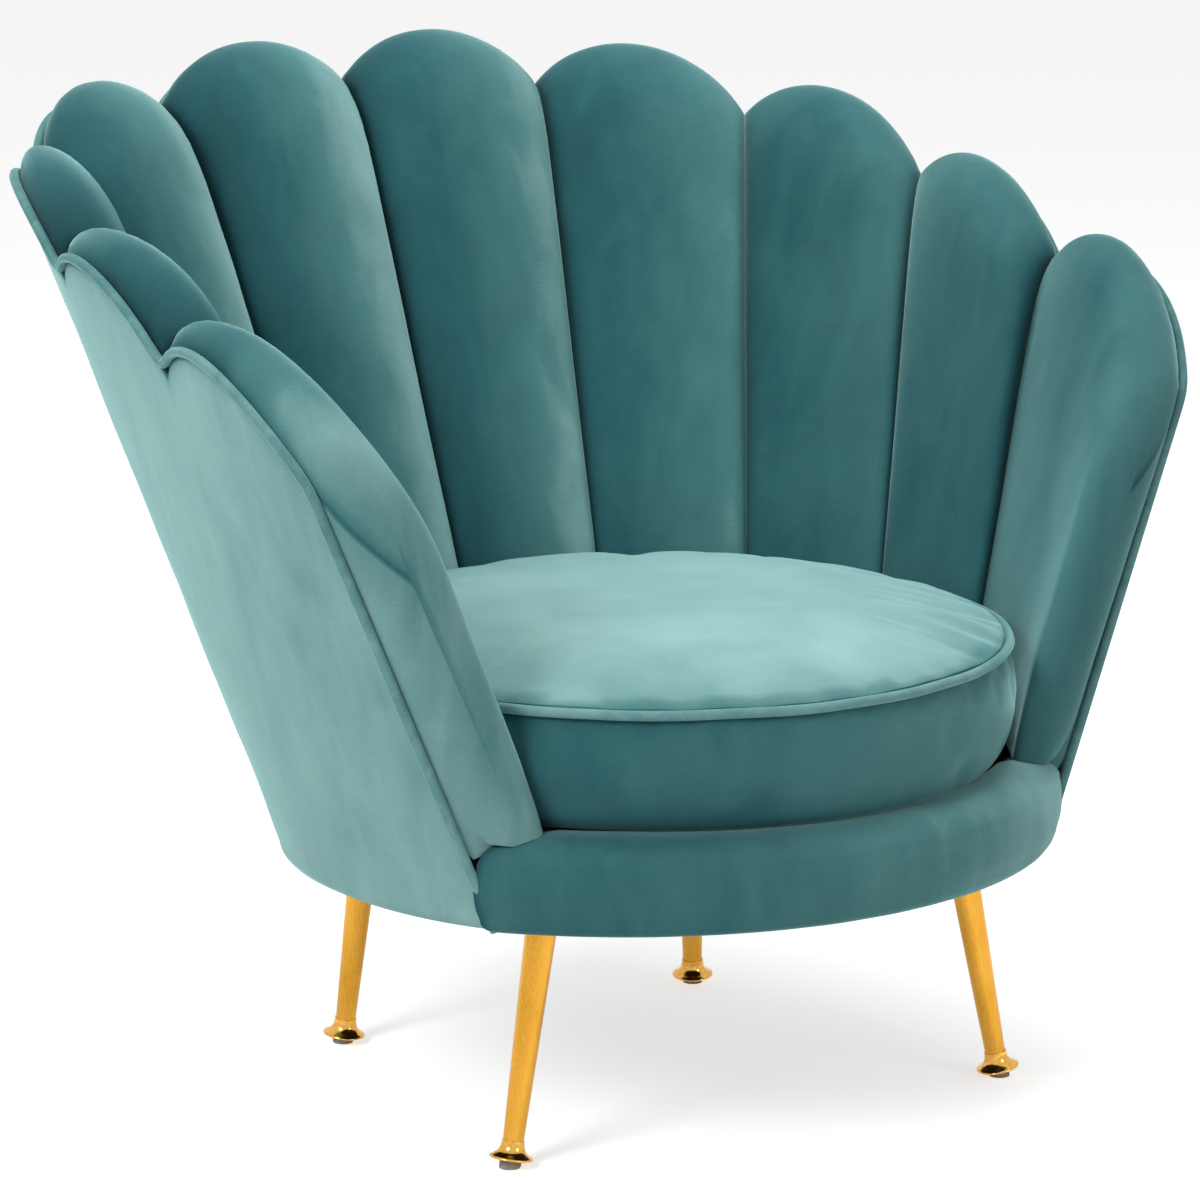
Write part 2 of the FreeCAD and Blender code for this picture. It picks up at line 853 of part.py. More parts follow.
def foot_disc(foot, top):
    """The flared round foot, with a spigot inside the tube."""
    start, end, axis = leg_line(foot, top)
    spigot = leg_foot_radius - leg_wall - spigot_gap
    middle = 0.5 * (disc_radius + disc_neck_radius)
    levels = [(disc_radius, 0.0), (disc_radius, disc_rim), (middle, disc_rim + 2.2),
              (disc_neck_radius + 0.8, disc_rim + 6.0), (disc_neck_radius, disc_height)]
    flare = loft([round_outline(start + axis * height, axis, radius) for radius, height in levels])
    ends = (disc_height, disc_height + spigot_length)
    peg = loft([round_outline(start + axis * height, axis, spigot) for height in ends])
    return flare.fuse(peg)


def glide(foot, top):
    """The small pad under the disc, cut flat where it meets the floor."""
    start, end, axis = leg_line(foot, top)
    return loft([round_outline(start, axis, glide_radius, 0.0),
                 round_outline(start, axis, glide_radius)])


def upright_round(place, radius, low, height):
    """A short upright cylinder with flat facets."""
    x, y = place
    face = Part.Face(polygon(round_outline(vector(x, y, low), vector(0, 0, 1), radius)))
    return face.extrude(vector(0, 0, height))


def leg_stud(place):
    """The plate welded on the top of a leg, with the threaded stud that goes through the board."""
    plate = upright_round(place, plate_radius, plate_level, plate_thickness)
    length = base_board_top + fit_gap + nut_height - plate_level
    return plate.fuse(upright_round(place, stud_radius, plate_level, length)).removeSplitter()


def leg_nut(place):
    """The six-sided nut that holds a leg, on top of the base board."""
    x, y = place
    low = base_board_top + 0.5 * fit_gap
    corners = []
    for corner in range(6):
        angle = math.radians(60.0 * corner)
        reach = nut_width / math.sqrt(3.0)
        corners.append(vector(x + reach * math.cos(angle), y + reach * math.sin(angle), low))
    block = Part.Face(polygon(corners)).extrude(vector(0, 0, nut_height))
    return block.cut(upright_round(place, stud_radius + stud_clearance / 2.0, low, nut_height))


# The whole chair, by node name

def mirrored(point):
    return (-point[0], point[1])


def all_parts():
    legs = {
        "front_left": (mirrored(front_foot), mirrored(front_leg_top)),
        "front_right": (front_foot, front_leg_top),
        "back_left": (mirrored(back_foot), mirrored(back_leg_top)),
        "back_right": (back_foot, back_leg_top),
    }
    tops = [top for foot, top in legs.values()]
    block = border_block()
    parts = {}
    for seam in range(-seams_per_side, seams_per_side):
        name = "channel_%02d" % (seam + seams_per_side + 1)
        if seam == -seams_per_side:
            parts[name] = arm_channel(-1.0, block)
        elif seam == seams_per_side - 1:
            parts[name] = arm_channel(1.0, block)
        else:
            parts[name] = back_channel(seam)
    parts["outer_cover"] = outer_cover()
    parts["inner_shell_board"] = inner_shell_board()
    for seam in rib_seams:
        parts["back_rib_%d" % (seam + seams_per_side)] = back_rib(seam)
    parts["mid_hoop"] = mid_hoop()
    parts["arm_post_left"] = arm_post(-1.0)
    parts["arm_post_right"] = arm_post(1.0)
    parts["seat_hoop"] = seat_hoop()
    parts["front_rail"] = front_rail()
    parts["front_border"] = front_border()
    parts["base_board"] = base_board(tops)
    parts["corner_blocks"] = group([corner_block(side * seam) for side in (-1.0, 1.0)
                                    for seam in corner_block_seams])
    parts["dust_cover"] = dust_cover(tops)
    parts["webbing_lengthwise"] = webbing(True)
    parts["webbing_crosswise"] = webbing(False)
    parts["deck_pad"] = deck_pad()
    parts["outline_piping"] = outline_piping()
    parts["cushion_cover"] = cushion_cover()
    parts["cushion_foam"] = cushion_foam()
    parts["cushion_piping"] = cushion_piping()
    for name, (foot, top) in legs.items():
        parts["leg_" + name] = leg_tube(foot, top)
    parts["foot_discs"] = group([foot_disc(foot, top) for foot, top in legs.values()])
    parts["glides"] = group([glide(foot, top) for foot, top in legs.values()])
    parts["leg_studs"] = group([leg_stud(top) for top in tops])
    parts["leg_nuts"] = group([leg_nut(top) for top in tops])
    return parts


def main():
    os.makedirs(parts_folder, exist_ok=True)
    for name, shape in all_parts().items():
        solids = shape.Solids
        print(name, len(solids), "solids", round(shape.Volume / 1000.0, 1), "cm3", shape.isValid())
        if len(solids) == 1:
            shape = solids[0]
        shape.exportStep(os.path.join(parts_folder, name + ".step"))


main()
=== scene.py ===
import bisect
import math

import bmesh
import bpy
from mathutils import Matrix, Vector, noise


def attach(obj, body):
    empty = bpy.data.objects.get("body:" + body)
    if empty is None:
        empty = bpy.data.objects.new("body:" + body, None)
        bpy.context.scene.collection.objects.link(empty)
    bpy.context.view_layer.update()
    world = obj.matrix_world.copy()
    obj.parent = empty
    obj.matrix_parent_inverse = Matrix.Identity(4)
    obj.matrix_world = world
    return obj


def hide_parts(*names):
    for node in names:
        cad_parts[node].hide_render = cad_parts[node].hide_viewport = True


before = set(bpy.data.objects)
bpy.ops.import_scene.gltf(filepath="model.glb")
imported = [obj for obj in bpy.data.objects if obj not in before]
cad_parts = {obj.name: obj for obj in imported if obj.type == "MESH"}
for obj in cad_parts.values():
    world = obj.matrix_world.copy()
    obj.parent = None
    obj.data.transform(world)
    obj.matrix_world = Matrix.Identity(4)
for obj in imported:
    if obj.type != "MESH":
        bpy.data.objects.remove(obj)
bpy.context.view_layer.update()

# Scallop back armchair, in metres. +Z is up, +Y is the back of the chair, X is its width.

# Shell: the seams are numbered 0 at the middle of the back to 5 at an arm front.
LAST_SEAM = 5
BASE_LEVEL = 0.260
BASE_OUTLINE = (0.339, 0.323, -0.1312, 2.17)
TOP_OUTLINE = (0.449, 0.491, -0.0652, 2.73)
VALLEY_HEIGHT = 0.780
ARM_DROP = 0.195
ARM_DROP_POWER = 1.71
BASE_WIDTH = 0.132
ARM_WIDTH = 0.182
TOP_WIDTH = 0.201
SCALLOP_RISE = 0.043
ARM_SCALLOP_RISE = 0.050
SCALLOP_ROUNDNESS = 0.6

# Padding of the channels: at the seat, halfway up and at the shoulder
SEAM_THICKNESS = (0.034, 0.040, 0.041)
CROWN_THICKNESS = (0.042, 0.066, 0.085)
ARM_FRONT_THICKNESS = (0.068, 0.080, 0.084)
ROLL_HEIGHT = 0.034
SHOULDER_DROP = 0.020
ARM_FRONT_ROLL = 0.024
CROWN_FULLNESS = 2.1
PAD_BACK = 0.0264
PAD_FOOT = 0.2803
BOARD_END_SEAM = 4.9
FACE_POINTS = 58
FINE_POINTS = 240
LINE_EASING_PASSES = 10
BACK_POINTS = 22
BODY_ROWS = 45

# The roll that turns round the front of an arm: its rows, the angle of one row, and how far it sinks
NOSE_ROWS = 18
NOSE_ROW_ANGLE = math.radians(4.94)
NOSE_LEAN = 0.034
NOSE_DROP = 0.036
NOSE_EASED_ROWS = 14
NOSE_EASING_PASSES = 14

# Unevenness of hand-filled padding
PAD_WAVE = 0.0016
COVER_WAVE = 0.0018
PLEAT_DEPTH = 0.0016
PLEAT_PITCH = 0.017

# Painted light on a channel, from dark to pale: shaded flank, painted sheen, crease shade, piping shade
PAINTED_SHADED_FLANK = 0.19
PAINTED_SHEEN_FLANK = 0.78
PAINTED_CREASE_SHADE = 0.42
PAINTED_PIPING_SHADE = 0.36

# Covers and base
COVER_THICKNESS = 0.0035
FIT_GAP = 0.0003
UNDERSIDE = 0.209
EDGE_RADIUS = 0.012
HEM_WIDTH = 0.015
PIPING_TUCK = 0.0018
FRONT_CENTRE_Y = -0.0722
FRONT_RADIUS = 0.378
BORDER_LEDGE = 0.040
BORDER_LIP = 0.048
BORDER_SHOULDER = (0.002, 0.264)
BORDER_BELLY = 0.246
BORDER_FOOT_INSET = 0.004
BORDER_FLAP = 0.045
BORDER_TOP = 0.2887
BORDER_STEPS = 90
RAIL_INSET = 0.024
BASE_BOARD_TOP = 0.2308
SEAT_LEVEL = 0.276

# Loose cushion
CUSHION_LEVEL = 0.289
CUSHION_RADIUS = 0.301
CUSHION_CENTRE_Y = -0.1232
CUSHION_PIPING = 0.388
CUSHION_CROWN = 0.026
CUSHION_BULGE = 0.003
CUSHION_FOOT_INSET = 0.018
CUSHION_SIDES = 168
COVER_WALL = 0.0045
FOAM_SIDES = 72
DECK_SIDES = 120
DECK_MARGIN = 0.014

# Filling of the cushion cover as cloth: air pressure, frames, and the farthest that a point moves
FILL_PRESSURE = 2.0
FILL_FRAMES = 20
FILL_LIMIT = 0.012

# Piping cords
CORD_RADIUS = 0.0042
CORD_SIDES = 14
CORD_INSET = 0.0002
CORD_FORWARD = 0.0036
ARM_CORD_STEPS = 60
SEAM_CORD_STEPS = 40
CORD_EASING_PASSES = 5
CUSHION_CORD_STEPS = 300

# Legs: places on the floor and under the base
LEGS = {
    "front_left": ((-0.246, -0.2882), (-0.208, -0.2782)),
    "front_right": ((0.246, -0.2882), (0.208, -0.2782)),
    "back_left": ((-0.183, 0.1008), (-0.167, 0.0818)),
    "back_right": ((0.183, 0.1008), (0.167, 0.0818)),
}
LEG_FOOT_RADIUS = 0.00875
LEG_TOP_RADIUS = 0.0135
LEG_WALL = 0.0015
LEG_TOP_LEVEL = 0.2098
DISC_LEVEL = 0.007
DISC_HEIGHT = 0.016
GLIDE_RADIUS = 0.009
LEG_ROWS = 12
LEG_SIDES = 56
GLIDE_SIDES = 40
SPIGOT_LENGTH = 0.014

# Studio: the camera's angles in degrees and its distance, then the lamps as place, aim, size, power
CAMERA_AZIMUTH = 31.99
CAMERA_HEIGHT_ANGLE = 12.08
CAMERA_DISTANCE = 4.9997
CAMERA_TARGET = (-0.0423, -0.1002, 0.4192)
CAMERA_LENS = 176.226
SENSOR_WIDTH = 36.0
LAMPS = {
    "key": ((-3.2, -1.3, 2.6), (0.0, -0.1, 0.45), 1.5, 84.0),
    "top": ((0.6, 0.2, 3.4), (0.0, -0.1, 0.4), 1.6, 62.0),
    "front": ((1.4, -4.0, 1.8), (0.0, -0.1, 0.5), 1.8, 22.0),
}
FLOOR_HALF = 12.0
FLOOR_TONE = (0.80, 0.80, 0.80, 1.0)
FLOOR_GLOW = 0.62
ROOM_LIGHT = 0.34

CHAIR = "chair"
CUSHION = "seat_cushion"


# Shell shape

def walk(half_width, half_depth, centre_y, fullness):
    """Points along half a squared ellipse from the middle of the back, with the length so far."""
    power = 2.0 / fullness
    rows = [(0.0, 0.0, centre_y + half_depth)]
    for step in range(1, 641):
        angle = math.radians(step * 0.25)
        cosine = math.cos(angle)
        x = half_width * math.sin(angle) ** power
        y = centre_y + half_depth * math.copysign(abs(cosine) ** power, cosine)
        length = rows[-1][0] + math.hypot(x - rows[-1][1], y - rows[-1][2])
        rows.append((length, x, y))
    return rows


def point_at(rows, length):
    index = bisect.bisect_left(rows, (length, 0.0, 0.0))
    index = min(max(index, 1), len(rows) - 1)
    before = rows[index - 1]
    after = rows[index]
    share = (length - before[0]) / (after[0] - before[0])
    return before[1] + share * (after[1] - before[1]), before[2] + share * (after[2] - before[2])


BASE_WALK = walk(*BASE_OUTLINE)
TOP_WALK = walk(*TOP_OUTLINE)


def bump(within):
    """A round scallop between two valleys: 0 at its ends and 1 in the middle."""
    foot = math.sqrt(1.0 - SCALLOP_ROUNDNESS)
    height = math.sqrt(1.0 - SCALLOP_ROUNDNESS * (2.0 * within - 1.0) ** 2)
    return (height - foot) / (1.0 - foot)


class Station:
    """The upright plane of the shell at one place along the seams."""

    def __init__(self, seam):
        side = -1.0 if seam < 0 else 1.0
        count = abs(seam)
        plain = min(count, LAST_SEAM - 1)
        base = point_at(BASE_WALK, plain * BASE_WIDTH + (count - plain) * ARM_WIDTH)
        top = point_at(TOP_WALK, count * TOP_WIDTH)
        reach = math.hypot(top[0] - base[0], top[1] - base[1])
        self.seam = seam
        self.x = side * base[0]
        self.y = base[1]
        self.out = Vector((side * (top[0] - base[0]) / reach, (top[1] - base[1]) / reach, 0.0))
        self.valley = VALLEY_HEIGHT - ARM_DROP * (count / LAST_SEAM) ** ARM_DROP_POWER
        self.slope = reach / (self.valley - BASE_LEVEL)
        within = count - math.floor(count) if count < LAST_SEAM else 0.0
        rise = ARM_SCALLOP_RISE if count > LAST_SEAM - 1 else SCALLOP_RISE
        self.edge = self.valley + rise * bump(within)

    def radial(self, inset, z):
        return self.slope * (z - BASE_LEVEL) - inset

    def place(self, radial, z):
        return Vector((self.x + self.out.x * radial, self.y + self.out.y * radial, z))

    def at(self, inset, z):
        """A place this far inside the outer face of the flared wall, at height z."""
        return self.place(self.radial(inset, z), z)

    def along(self):
        return Vector((-self.out.y, self.out.x, 0.0))


# Mesh helpers

def smooth_line(knots, count):
    """Points on a smooth line through these knots."""
    size = len(knots)
    points = []
    for step in range(count):
        position = (size - 1) * step / (count - 1)
        index = min(int(position), size - 2)
        t = position - index
        a = knots[max(index - 1, 0)]
        b = knots[index]
        c = knots[index + 1]
        d = knots[min(index + 2, size - 1)]
        point = []
        for p, q, r, s in zip(a, b, c, d):
            point.append(0.5 * (2.0 * q + (r - p) * t + (2.0 * p - 5.0 * q + 4.0 * r - s) * t * t
                                + (3.0 * q - p - 3.0 * r + s) * t ** 3))
        points.append(tuple(point))
    return points


def even_line(knots, count):
    """A soft line through these knots, as points at even distances along it."""
    fine = smooth_line(knots, FINE_POINTS)
    lengths = [0.0]
    for before, after in zip(fine[:-1], fine[1:]):
        lengths.append(lengths[-1] + math.dist(before, after))
    points = []
    index = 0
    for step in range(count):
        length = lengths[-1] * step / (count - 1)
        while index < len(fine) - 2 and lengths[index + 1] < length:
            index += 1
        share = (length - lengths[index]) / max(lengths[index + 1] - lengths[index], 1.0e-9)
        points.append([a + (b - a) * share for a, b in zip(fine[index], fine[index + 1])])
    for _ in range(LINE_EASING_PASSES):
        points = [points[0]] + [
            [(a + 2.0 * b + c) / 4.0 for a, b, c in zip(before, here, after)]
            for before, here, after in zip(points[:-2], points[1:-1], points[2:])
        ] + [points[-1]]
    return points


def wobble(point, size, seed):
    """A smooth, fixed unevenness between about -1 and 1 at this place."""
    return noise.noise(Vector((point.x / size + seed, point.y / size - seed, point.z / size)))


def finish_mesh(name, verts, faces, material, sharp, body, painted_light_values=None):
    """A named piece from its points and faces, shaded smooth except at its sharp edges.

    sharp is the angle in degrees from which an edge counts as sharp. The last argument gives for
    each point its painted light and shade, from 0, dark, to 1, pale.
    """
    data = bpy.data.meshes.new(name)
    data.from_pydata([tuple(v) for v in verts], [], faces)
    if painted_light_values:
        # Stores the painted light and shade on the points
        data.attributes.new("nap_and_painted_light", "FLOAT", "POINT").data.foreach_set("value", painted_light_values)
    shape = bmesh.new()
    shape.from_mesh(data)
    bmesh.ops.remove_doubles(shape, verts=shape.verts, dist=1.0e-6)
    bmesh.ops.recalc_face_normals(shape, faces=shape.faces)
    limit = math.radians(sharp)
    for face in shape.faces:
        face.smooth = True
    for edge in shape.edges:
        if len(edge.link_faces) == 2 and edge.calc_face_angle(0.0) > limit:
            edge.smooth = False
    shape.to_mesh(data)
    shape.free()
    obj = bpy.data.objects.new(name, data)
    bpy.context.scene.collection.objects.link(obj)
    obj.data.materials.append(material)
    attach(obj, body)
    return obj


def skin(outlines, closed_run=False):
    """Points and faces of a closed form through these closed outlines."""
    count = len(outlines[0])
    verts = [point for outline in outlines for point in outline]
    faces = []
    rows = len(outlines)
    for row in range(rows if closed_run else rows - 1):
        after = (row + 1) % rows
        for index in range(count):
            ahead = (index + 1) % count
            faces.append((row * count + index, row * count + ahead,
                          after * count + ahead, after * count + index))
    if not closed_run:
        faces.append(tuple(range(count)))
        faces.append(tuple(range((rows - 1) * count, rows * count)))
    return verts, faces


def ring(centre, ahead, outward):
    """One outline of a piping cord that runs on ahead."""
    sideways = ahead.cross(outward).normalized()
    outward = sideways.cross(ahead).normalized()
    points = []
    for corner in range(CORD_SIDES):
        angle = 2.0 * math.pi * corner / CORD_SIDES
        points.append(centre + outward * (CORD_RADIUS * math.cos(angle))
                      + sideways * (CORD_RADIUS * math.sin(angle)))
    return points


def cord(centres, outwards, closed=False):
    """Outlines of a piping cord along these points."""
    outlines = []
    count = len(centres)
    for index, centre in enumerate(centres):
        if closed:
            before = centres[index - 1]
            after = centres[(index + 1) % count]
        else:
            before = centres[max(index - 1, 0)]
            after = centres[min(index + 1, count - 1)]
        ahead = (after - before).normalized()
        outlines.append(ring(centre, ahead, outwards[index]))
    return outlines


# Materials

def linear(value):
    value /= 255.0
    return value / 12.92 if value <= 0.04045 else ((value + 0.055) / 1.055) ** 2.4


def tone(red, green, blue):
    return linear(red), linear(green), linear(blue), 1.0


class Nodes:
    """A small helper to lay out a material's nodes."""

    def __init__(self, name):
        self.material = bpy.data.materials.new(name)
        self.material.use_nodes = True
        self.tree = self.material.node_tree
        self.shader = self.tree.nodes["Principled BSDF"]
        coordinates = self.tree.nodes.new("ShaderNodeTexCoord")
        self.place = coordinates.outputs["Object"]

    def link(self, source, target):
        self.tree.links.new(source, target)

    def set(self, **values):
        for key, value in values.items():
            self.shader.inputs[key.replace("_", " ")].default_value = value

    def stretched(self, scale):
        mapping = self.tree.nodes.new("ShaderNodeMapping")
        mapping.inputs["Scale"].default_value = scale
        self.link(self.place, mapping.inputs["Vector"])
        return mapping.outputs["Vector"]

    def noise(self, scale, detail, distortion=0.0):
        texture = self.tree.nodes.new("ShaderNodeTexNoise")
        texture.inputs["Scale"].default_value = 1.0
        texture.inputs["Detail"].default_value = detail
        texture.inputs["Distortion"].default_value = distortion
        self.link(self.stretched(scale), texture.inputs["Vector"])
        return texture.outputs["Fac"]

    def wave(self, scale, distortion):
        texture = self.tree.nodes.new("ShaderNodeTexWave")
        texture.inputs["Scale"].default_value = 1.0
        texture.inputs["Distortion"].default_value = distortion
        self.link(self.stretched(scale), texture.inputs["Vector"])
        return texture.outputs["Fac"]

    def painted_light_attribute(self):
        """The painted light and shade stored on the piece's points."""
        node = self.tree.nodes.new("ShaderNodeAttribute")
        node.attribute_name = "nap_and_painted_light"
        return node.outputs["Fac"]

    def math(self, operation, first, second):
        node = self.tree.nodes.new("ShaderNodeMath")
        node.operation = operation
        for socket, value in zip(node.inputs, (first, second)):
            if isinstance(value, float):
                socket.default_value = value
            else:
                self.link(value, socket)
        return node.outputs[0]

    def sum(self, *terms):
        """The weighted sum of several sources, each given as (source, weight)."""
        total = None
        for source, weight in terms:
            term = self.math("MULTIPLY", source, weight)
            total = term if total is None else self.math("ADD", total, term)
        return total

    def ramp(self, source, stops):
        node = self.tree.nodes.new("ShaderNodeValToRGB")
        elements = node.color_ramp.elements
        while len(elements) < len(stops):
            elements.new(0.5)
        for element, (position, colour) in zip(elements, stops):
            element.position = position
            element.color = colour
        self.link(source, node.inputs["Fac"])
        return node.outputs["Color"]

    def bump(self, source, strength, distance, before=None):
        node = self.tree.nodes.new("ShaderNodeBump")
        node.inputs["Strength"].default_value = strength
        node.inputs["Distance"].default_value = distance
        self.link(source, node.inputs["Height"])
        if before is not None:
            self.link(before, node.inputs["Normal"])
        return node.outputs["Normal"]


VELVET_TONES = [(0.0, tone(14, 48, 54)), (0.3, tone(40, 90, 96)), (0.6, tone(76, 124, 125)),
                (1.0, tone(150, 190, 187))]
WEAVE_STRENGTH = 0.5


def velvet(name, warp, weft, streak):
    """Short pile velvet: pile marks over a fine weave, painted light and shade from the piece's points,
    and a pale sheen at grazing angles.
    """
    nodes = Nodes(name)
    nap_and_painted_light = nodes.noise(streak, 4.0, 0.6)
    patch = nodes.noise((5.0, 5.0, 4.0), 2.0, 0.4)
    threads = nodes.sum((nodes.noise(warp, 1.0), 0.5), (nodes.noise(weft, 1.0), 0.5))
    pile = nodes.noise((1600.0, 1600.0, 1600.0), 2.0)
    marks = nodes.sum((nap_and_painted_light, 0.26), (patch, 0.30), (threads, 0.10), (pile, 0.04))
    # The colour adds the painted light and shade from the piece's points to the random pile marks
    mix = nodes.math("ADD", nodes.math("SUBTRACT", marks, 0.35), nodes.painted_light_attribute())
    nodes.link(nodes.ramp(mix, VELVET_TONES), nodes.shader.inputs["Base Color"])
    rough = nodes.ramp(nap_and_painted_light, [(0.3, (0.72, 0.72, 0.72, 1.0)), (0.7, (0.92, 0.92, 0.92, 1.0))])
    nodes.link(rough, nodes.shader.inputs["Roughness"])
    woven = nodes.bump(threads, WEAVE_STRENGTH, 0.0006)
    nodes.link(nodes.bump(pile, 0.25, 0.0004, woven), nodes.shader.inputs["Normal"])
    nodes.set(Sheen_Weight=1.0, Sheen_Roughness=0.36, Sheen_Tint=tone(178, 226, 224),
              Specular_IOR_Level=0.1)
    return nodes.material


def metal(name, dark, light, roughness, brushing):
    """Plated steel: fine brushing along the tube, faint stains and a varying gloss."""
    nodes = Nodes(name)
    brush = nodes.noise(brushing, 3.0)
    stain = nodes.noise((26.0, 26.0, 18.0), 4.0, 0.5)
    mix = nodes.sum((brush, 0.55), (stain, 0.45))
    nodes.link(nodes.ramp(mix, [(0.32, dark), (0.66, light)]), nodes.shader.inputs["Base Color"])
    low = (roughness * 0.75,) * 3 + (1.0,)
    high = (roughness * 1.35,) * 3 + (1.0,)
    nodes.link(nodes.ramp(mix, [(0.3, low), (0.7, high)]), nodes.shader.inputs["Roughness"])
    nodes.link(nodes.bump(brush, 0.12, 0.0002), nodes.shader.inputs["Normal"])
    nodes.set(Metallic=1.0)
    return nodes.material


def wood(name, dark, light, layers):
    """Board with long grain, pores and, where layers is set, the stripes of its plies."""
    nodes = Nodes(name)
    grain = nodes.noise((14.0, 110.0, 14.0), 6.0, 1.2)
    pores = nodes.noise((60.0, 700.0, 700.0), 2.0)
    plies = nodes.wave((0.0, 0.0, layers), 1.5)
    mix = nodes.sum((grain, 0.55), (pores, 0.2), (plies, 0.25))
    nodes.link(nodes.ramp(mix, [(0.3, dark), (0.68, light)]), nodes.shader.inputs["Base Color"])
    rough = nodes.ramp(grain, [(0.2, (0.5, 0.5, 0.5, 1.0)), (0.8, (0.75, 0.75, 0.75, 1.0))])
    nodes.link(rough, nodes.shader.inputs["Roughness"])
    nodes.link(nodes.bump(mix, 0.2, 0.0005), nodes.shader.inputs["Normal"])
    return nodes.material


def cloth(name, warp, weft, dark, light, sheen=0.2):
    """A plain woven or felted cloth."""
    nodes = Nodes(name)
    threads = nodes.sum((nodes.noise(warp, 2.0), 0.5), (nodes.noise(weft, 2.0), 0.5))
    patch = nodes.noise((30.0, 30.0, 30.0), 4.0)
    mix = nodes.sum((threads, 0.65), (patch, 0.35))
    nodes.link(nodes.ramp(mix, [(0.35, dark), (0.65, light)]), nodes.shader.inputs["Base Color"])
    rough = nodes.ramp(threads, [(0.3, (0.8, 0.8, 0.8, 1.0)), (0.7, (0.95, 0.95, 0.95, 1.0))])
    nodes.link(rough, nodes.shader.inputs["Roughness"])
    nodes.link(nodes.bump(threads, 0.6, 0.0008), nodes.shader.inputs["Normal"])
    nodes.set(Sheen_Weight=sheen, Sheen_Roughness=0.5, Specular_IOR_Level=0.2)
    return nodes.material


VELVET = velvet("velvet", (1000.0, 1000.0, 70.0), (70.0, 70.0, 1000.0), (30.0, 30.0, 7.0))
VELVET_LEVEL = velvet("velvet_level", (1000.0, 70.0, 300.0), (70.0, 1000.0, 300.0),
                      (14.0, 14.0, 14.0))
PIPING = velvet("piping", (900.0, 900.0, 900.0), (500.0, 500.0, 500.0), (60.0, 60.0, 60.0))
GOLD = metal("brushed_gold", tone(196, 138, 44), tone(222, 166, 66), 0.24, (1500.0, 1500.0, 24.0))
POLISHED_GOLD = metal("polished_gold", tone(206, 148, 62), tone(236, 186, 96), 0.12,
                      (300.0, 300.0, 300.0))
STEEL = metal("steel", tone(120, 122, 124), tone(176, 178, 178), 0.35, (500.0, 500.0, 500.0))
PLYWOOD = wood("plywood", tone(150, 112, 70), tone(208, 174, 126), 420.0)
FIBREBOARD = wood("fibreboard", tone(104, 78, 52), tone(138, 108, 76), 0.0)
DUST_CLOTH = cloth("dust_cloth", (500.0, 90.0, 500.0), (90.0, 500.0, 500.0), tone(18, 18, 20),
                   tone(44, 44, 46))
WEBBING = cloth("webbing", (900.0, 120.0, 500.0), (120.0, 900.0, 500.0), tone(28, 26, 24),
                tone(70, 64, 58))
FELT = cloth("felt", (260.0, 260.0, 260.0), (120.0, 120.0, 120.0), tone(112, 112, 108),
             tone(168, 168, 162), 0.4)
FOAM = cloth("foam", (420.0, 420.0, 420.0), (150.0, 150.0, 150.0), tone(206, 196, 150),
             tone(238, 230, 190), 0.1)
GLIDE = cloth("glide_plastic", (300.0, 300.0, 300.0), (80.0, 80.0, 80.0), tone(132, 132, 128),
              tone(172, 172, 168), 0.0)


# Channels

def crown_share(within):
    """How full a channel is across its width: steep beside the seams and round in the middle."""
    side = abs(2.0 * within - 1.0)
    return max(0.0, 1.0 - side ** CROWN_FULLNESS) ** (1.0 / CROWN_FULLNESS)


def mixed(low, high, share):
    return [a + (b - a) * share for a, b in zip(low, high)]


def channel_thickness(within, in_arm):
    if in_arm:
        foot = mixed(SEAM_THICKNESS, ARM_FRONT_THICKNESS, within ** 2)
        share = crown_share(within) if within < 0.5 else 1.0
        return mixed(foot, ARM_FRONT_THICKNESS, share * within ** 0.5)
    return mixed(SEAM_THICKNESS, CROWN_THICKNESS, crown_share(within))


def border_top(x, y):
    """The height of the border's rounded ledge under this place."""
    inset = FRONT_RADIUS - math.hypot(x, y - FRONT_CENTRE_Y)
    reach = BORDER_LEDGE - BORDER_SHOULDER[0]
    off = min(max((BORDER_LEDGE - inset) / reach, 0.0), 1.0)
    return BORDER_SHOULDER[1] + (BORDER_TOP - BORDER_SHOULDER[1]) * math.sqrt(1.0 - off ** 2)


def pad_section(station, back, thickness, low, narrow=1.0, sink=0.0):
    """The padding in one upright plane: rolled top and inner face, then its foot and its back."""
    foot, halfway, shoulder = thickness
    centre = 0.5 * shoulder
    rim = COVER_THICKNESS + FIT_GAP
    ledge = station.edge + FIT_GAP - sink
    summit_level = ledge + ROLL_HEIGHT + 0.002
    summit_inset = 0.45 * shoulder
    middle_level = (low + ledge - SHOULDER_DROP) / 2.0
    knots = [
        (rim, ledge), (rim + 0.05 * shoulder, ledge + 0.64 * ROLL_HEIGHT),
        (summit_inset, summit_level),
        (shoulder - 0.09 * shoulder, ledge + 0.42 * ROLL_HEIGHT),
        (shoulder + 0.001, ledge - 1.5 * SHOULDER_DROP),
        (shoulder + 0.45 * (halfway - shoulder) + 0.002 * narrow,
         ledge + 0.5 * (middle_level - ledge)),
        (halfway, middle_level),
        (halfway + 0.5 * (foot - halfway) + 0.003 * narrow,
         middle_level + 0.55 * (low - middle_level)),
        (foot, low),
    ]

    def spot(inset, z):
        return station.at(centre + (inset - centre) * narrow, z)

    points = [spot(inset, z) for inset, z in even_line(knots, FACE_POINTS)]
    for step in range(BACK_POINTS):
        points.append(spot(back, low + (ledge - 0.0005 - low) * step / (BACK_POINTS - 1)))
    return points


def spread(count):
    """Shares from 0 to 1 that crowd near both ends."""
    return [0.5 - 0.5 * math.cos(math.pi * step / (count - 1)) for step in range(count)]


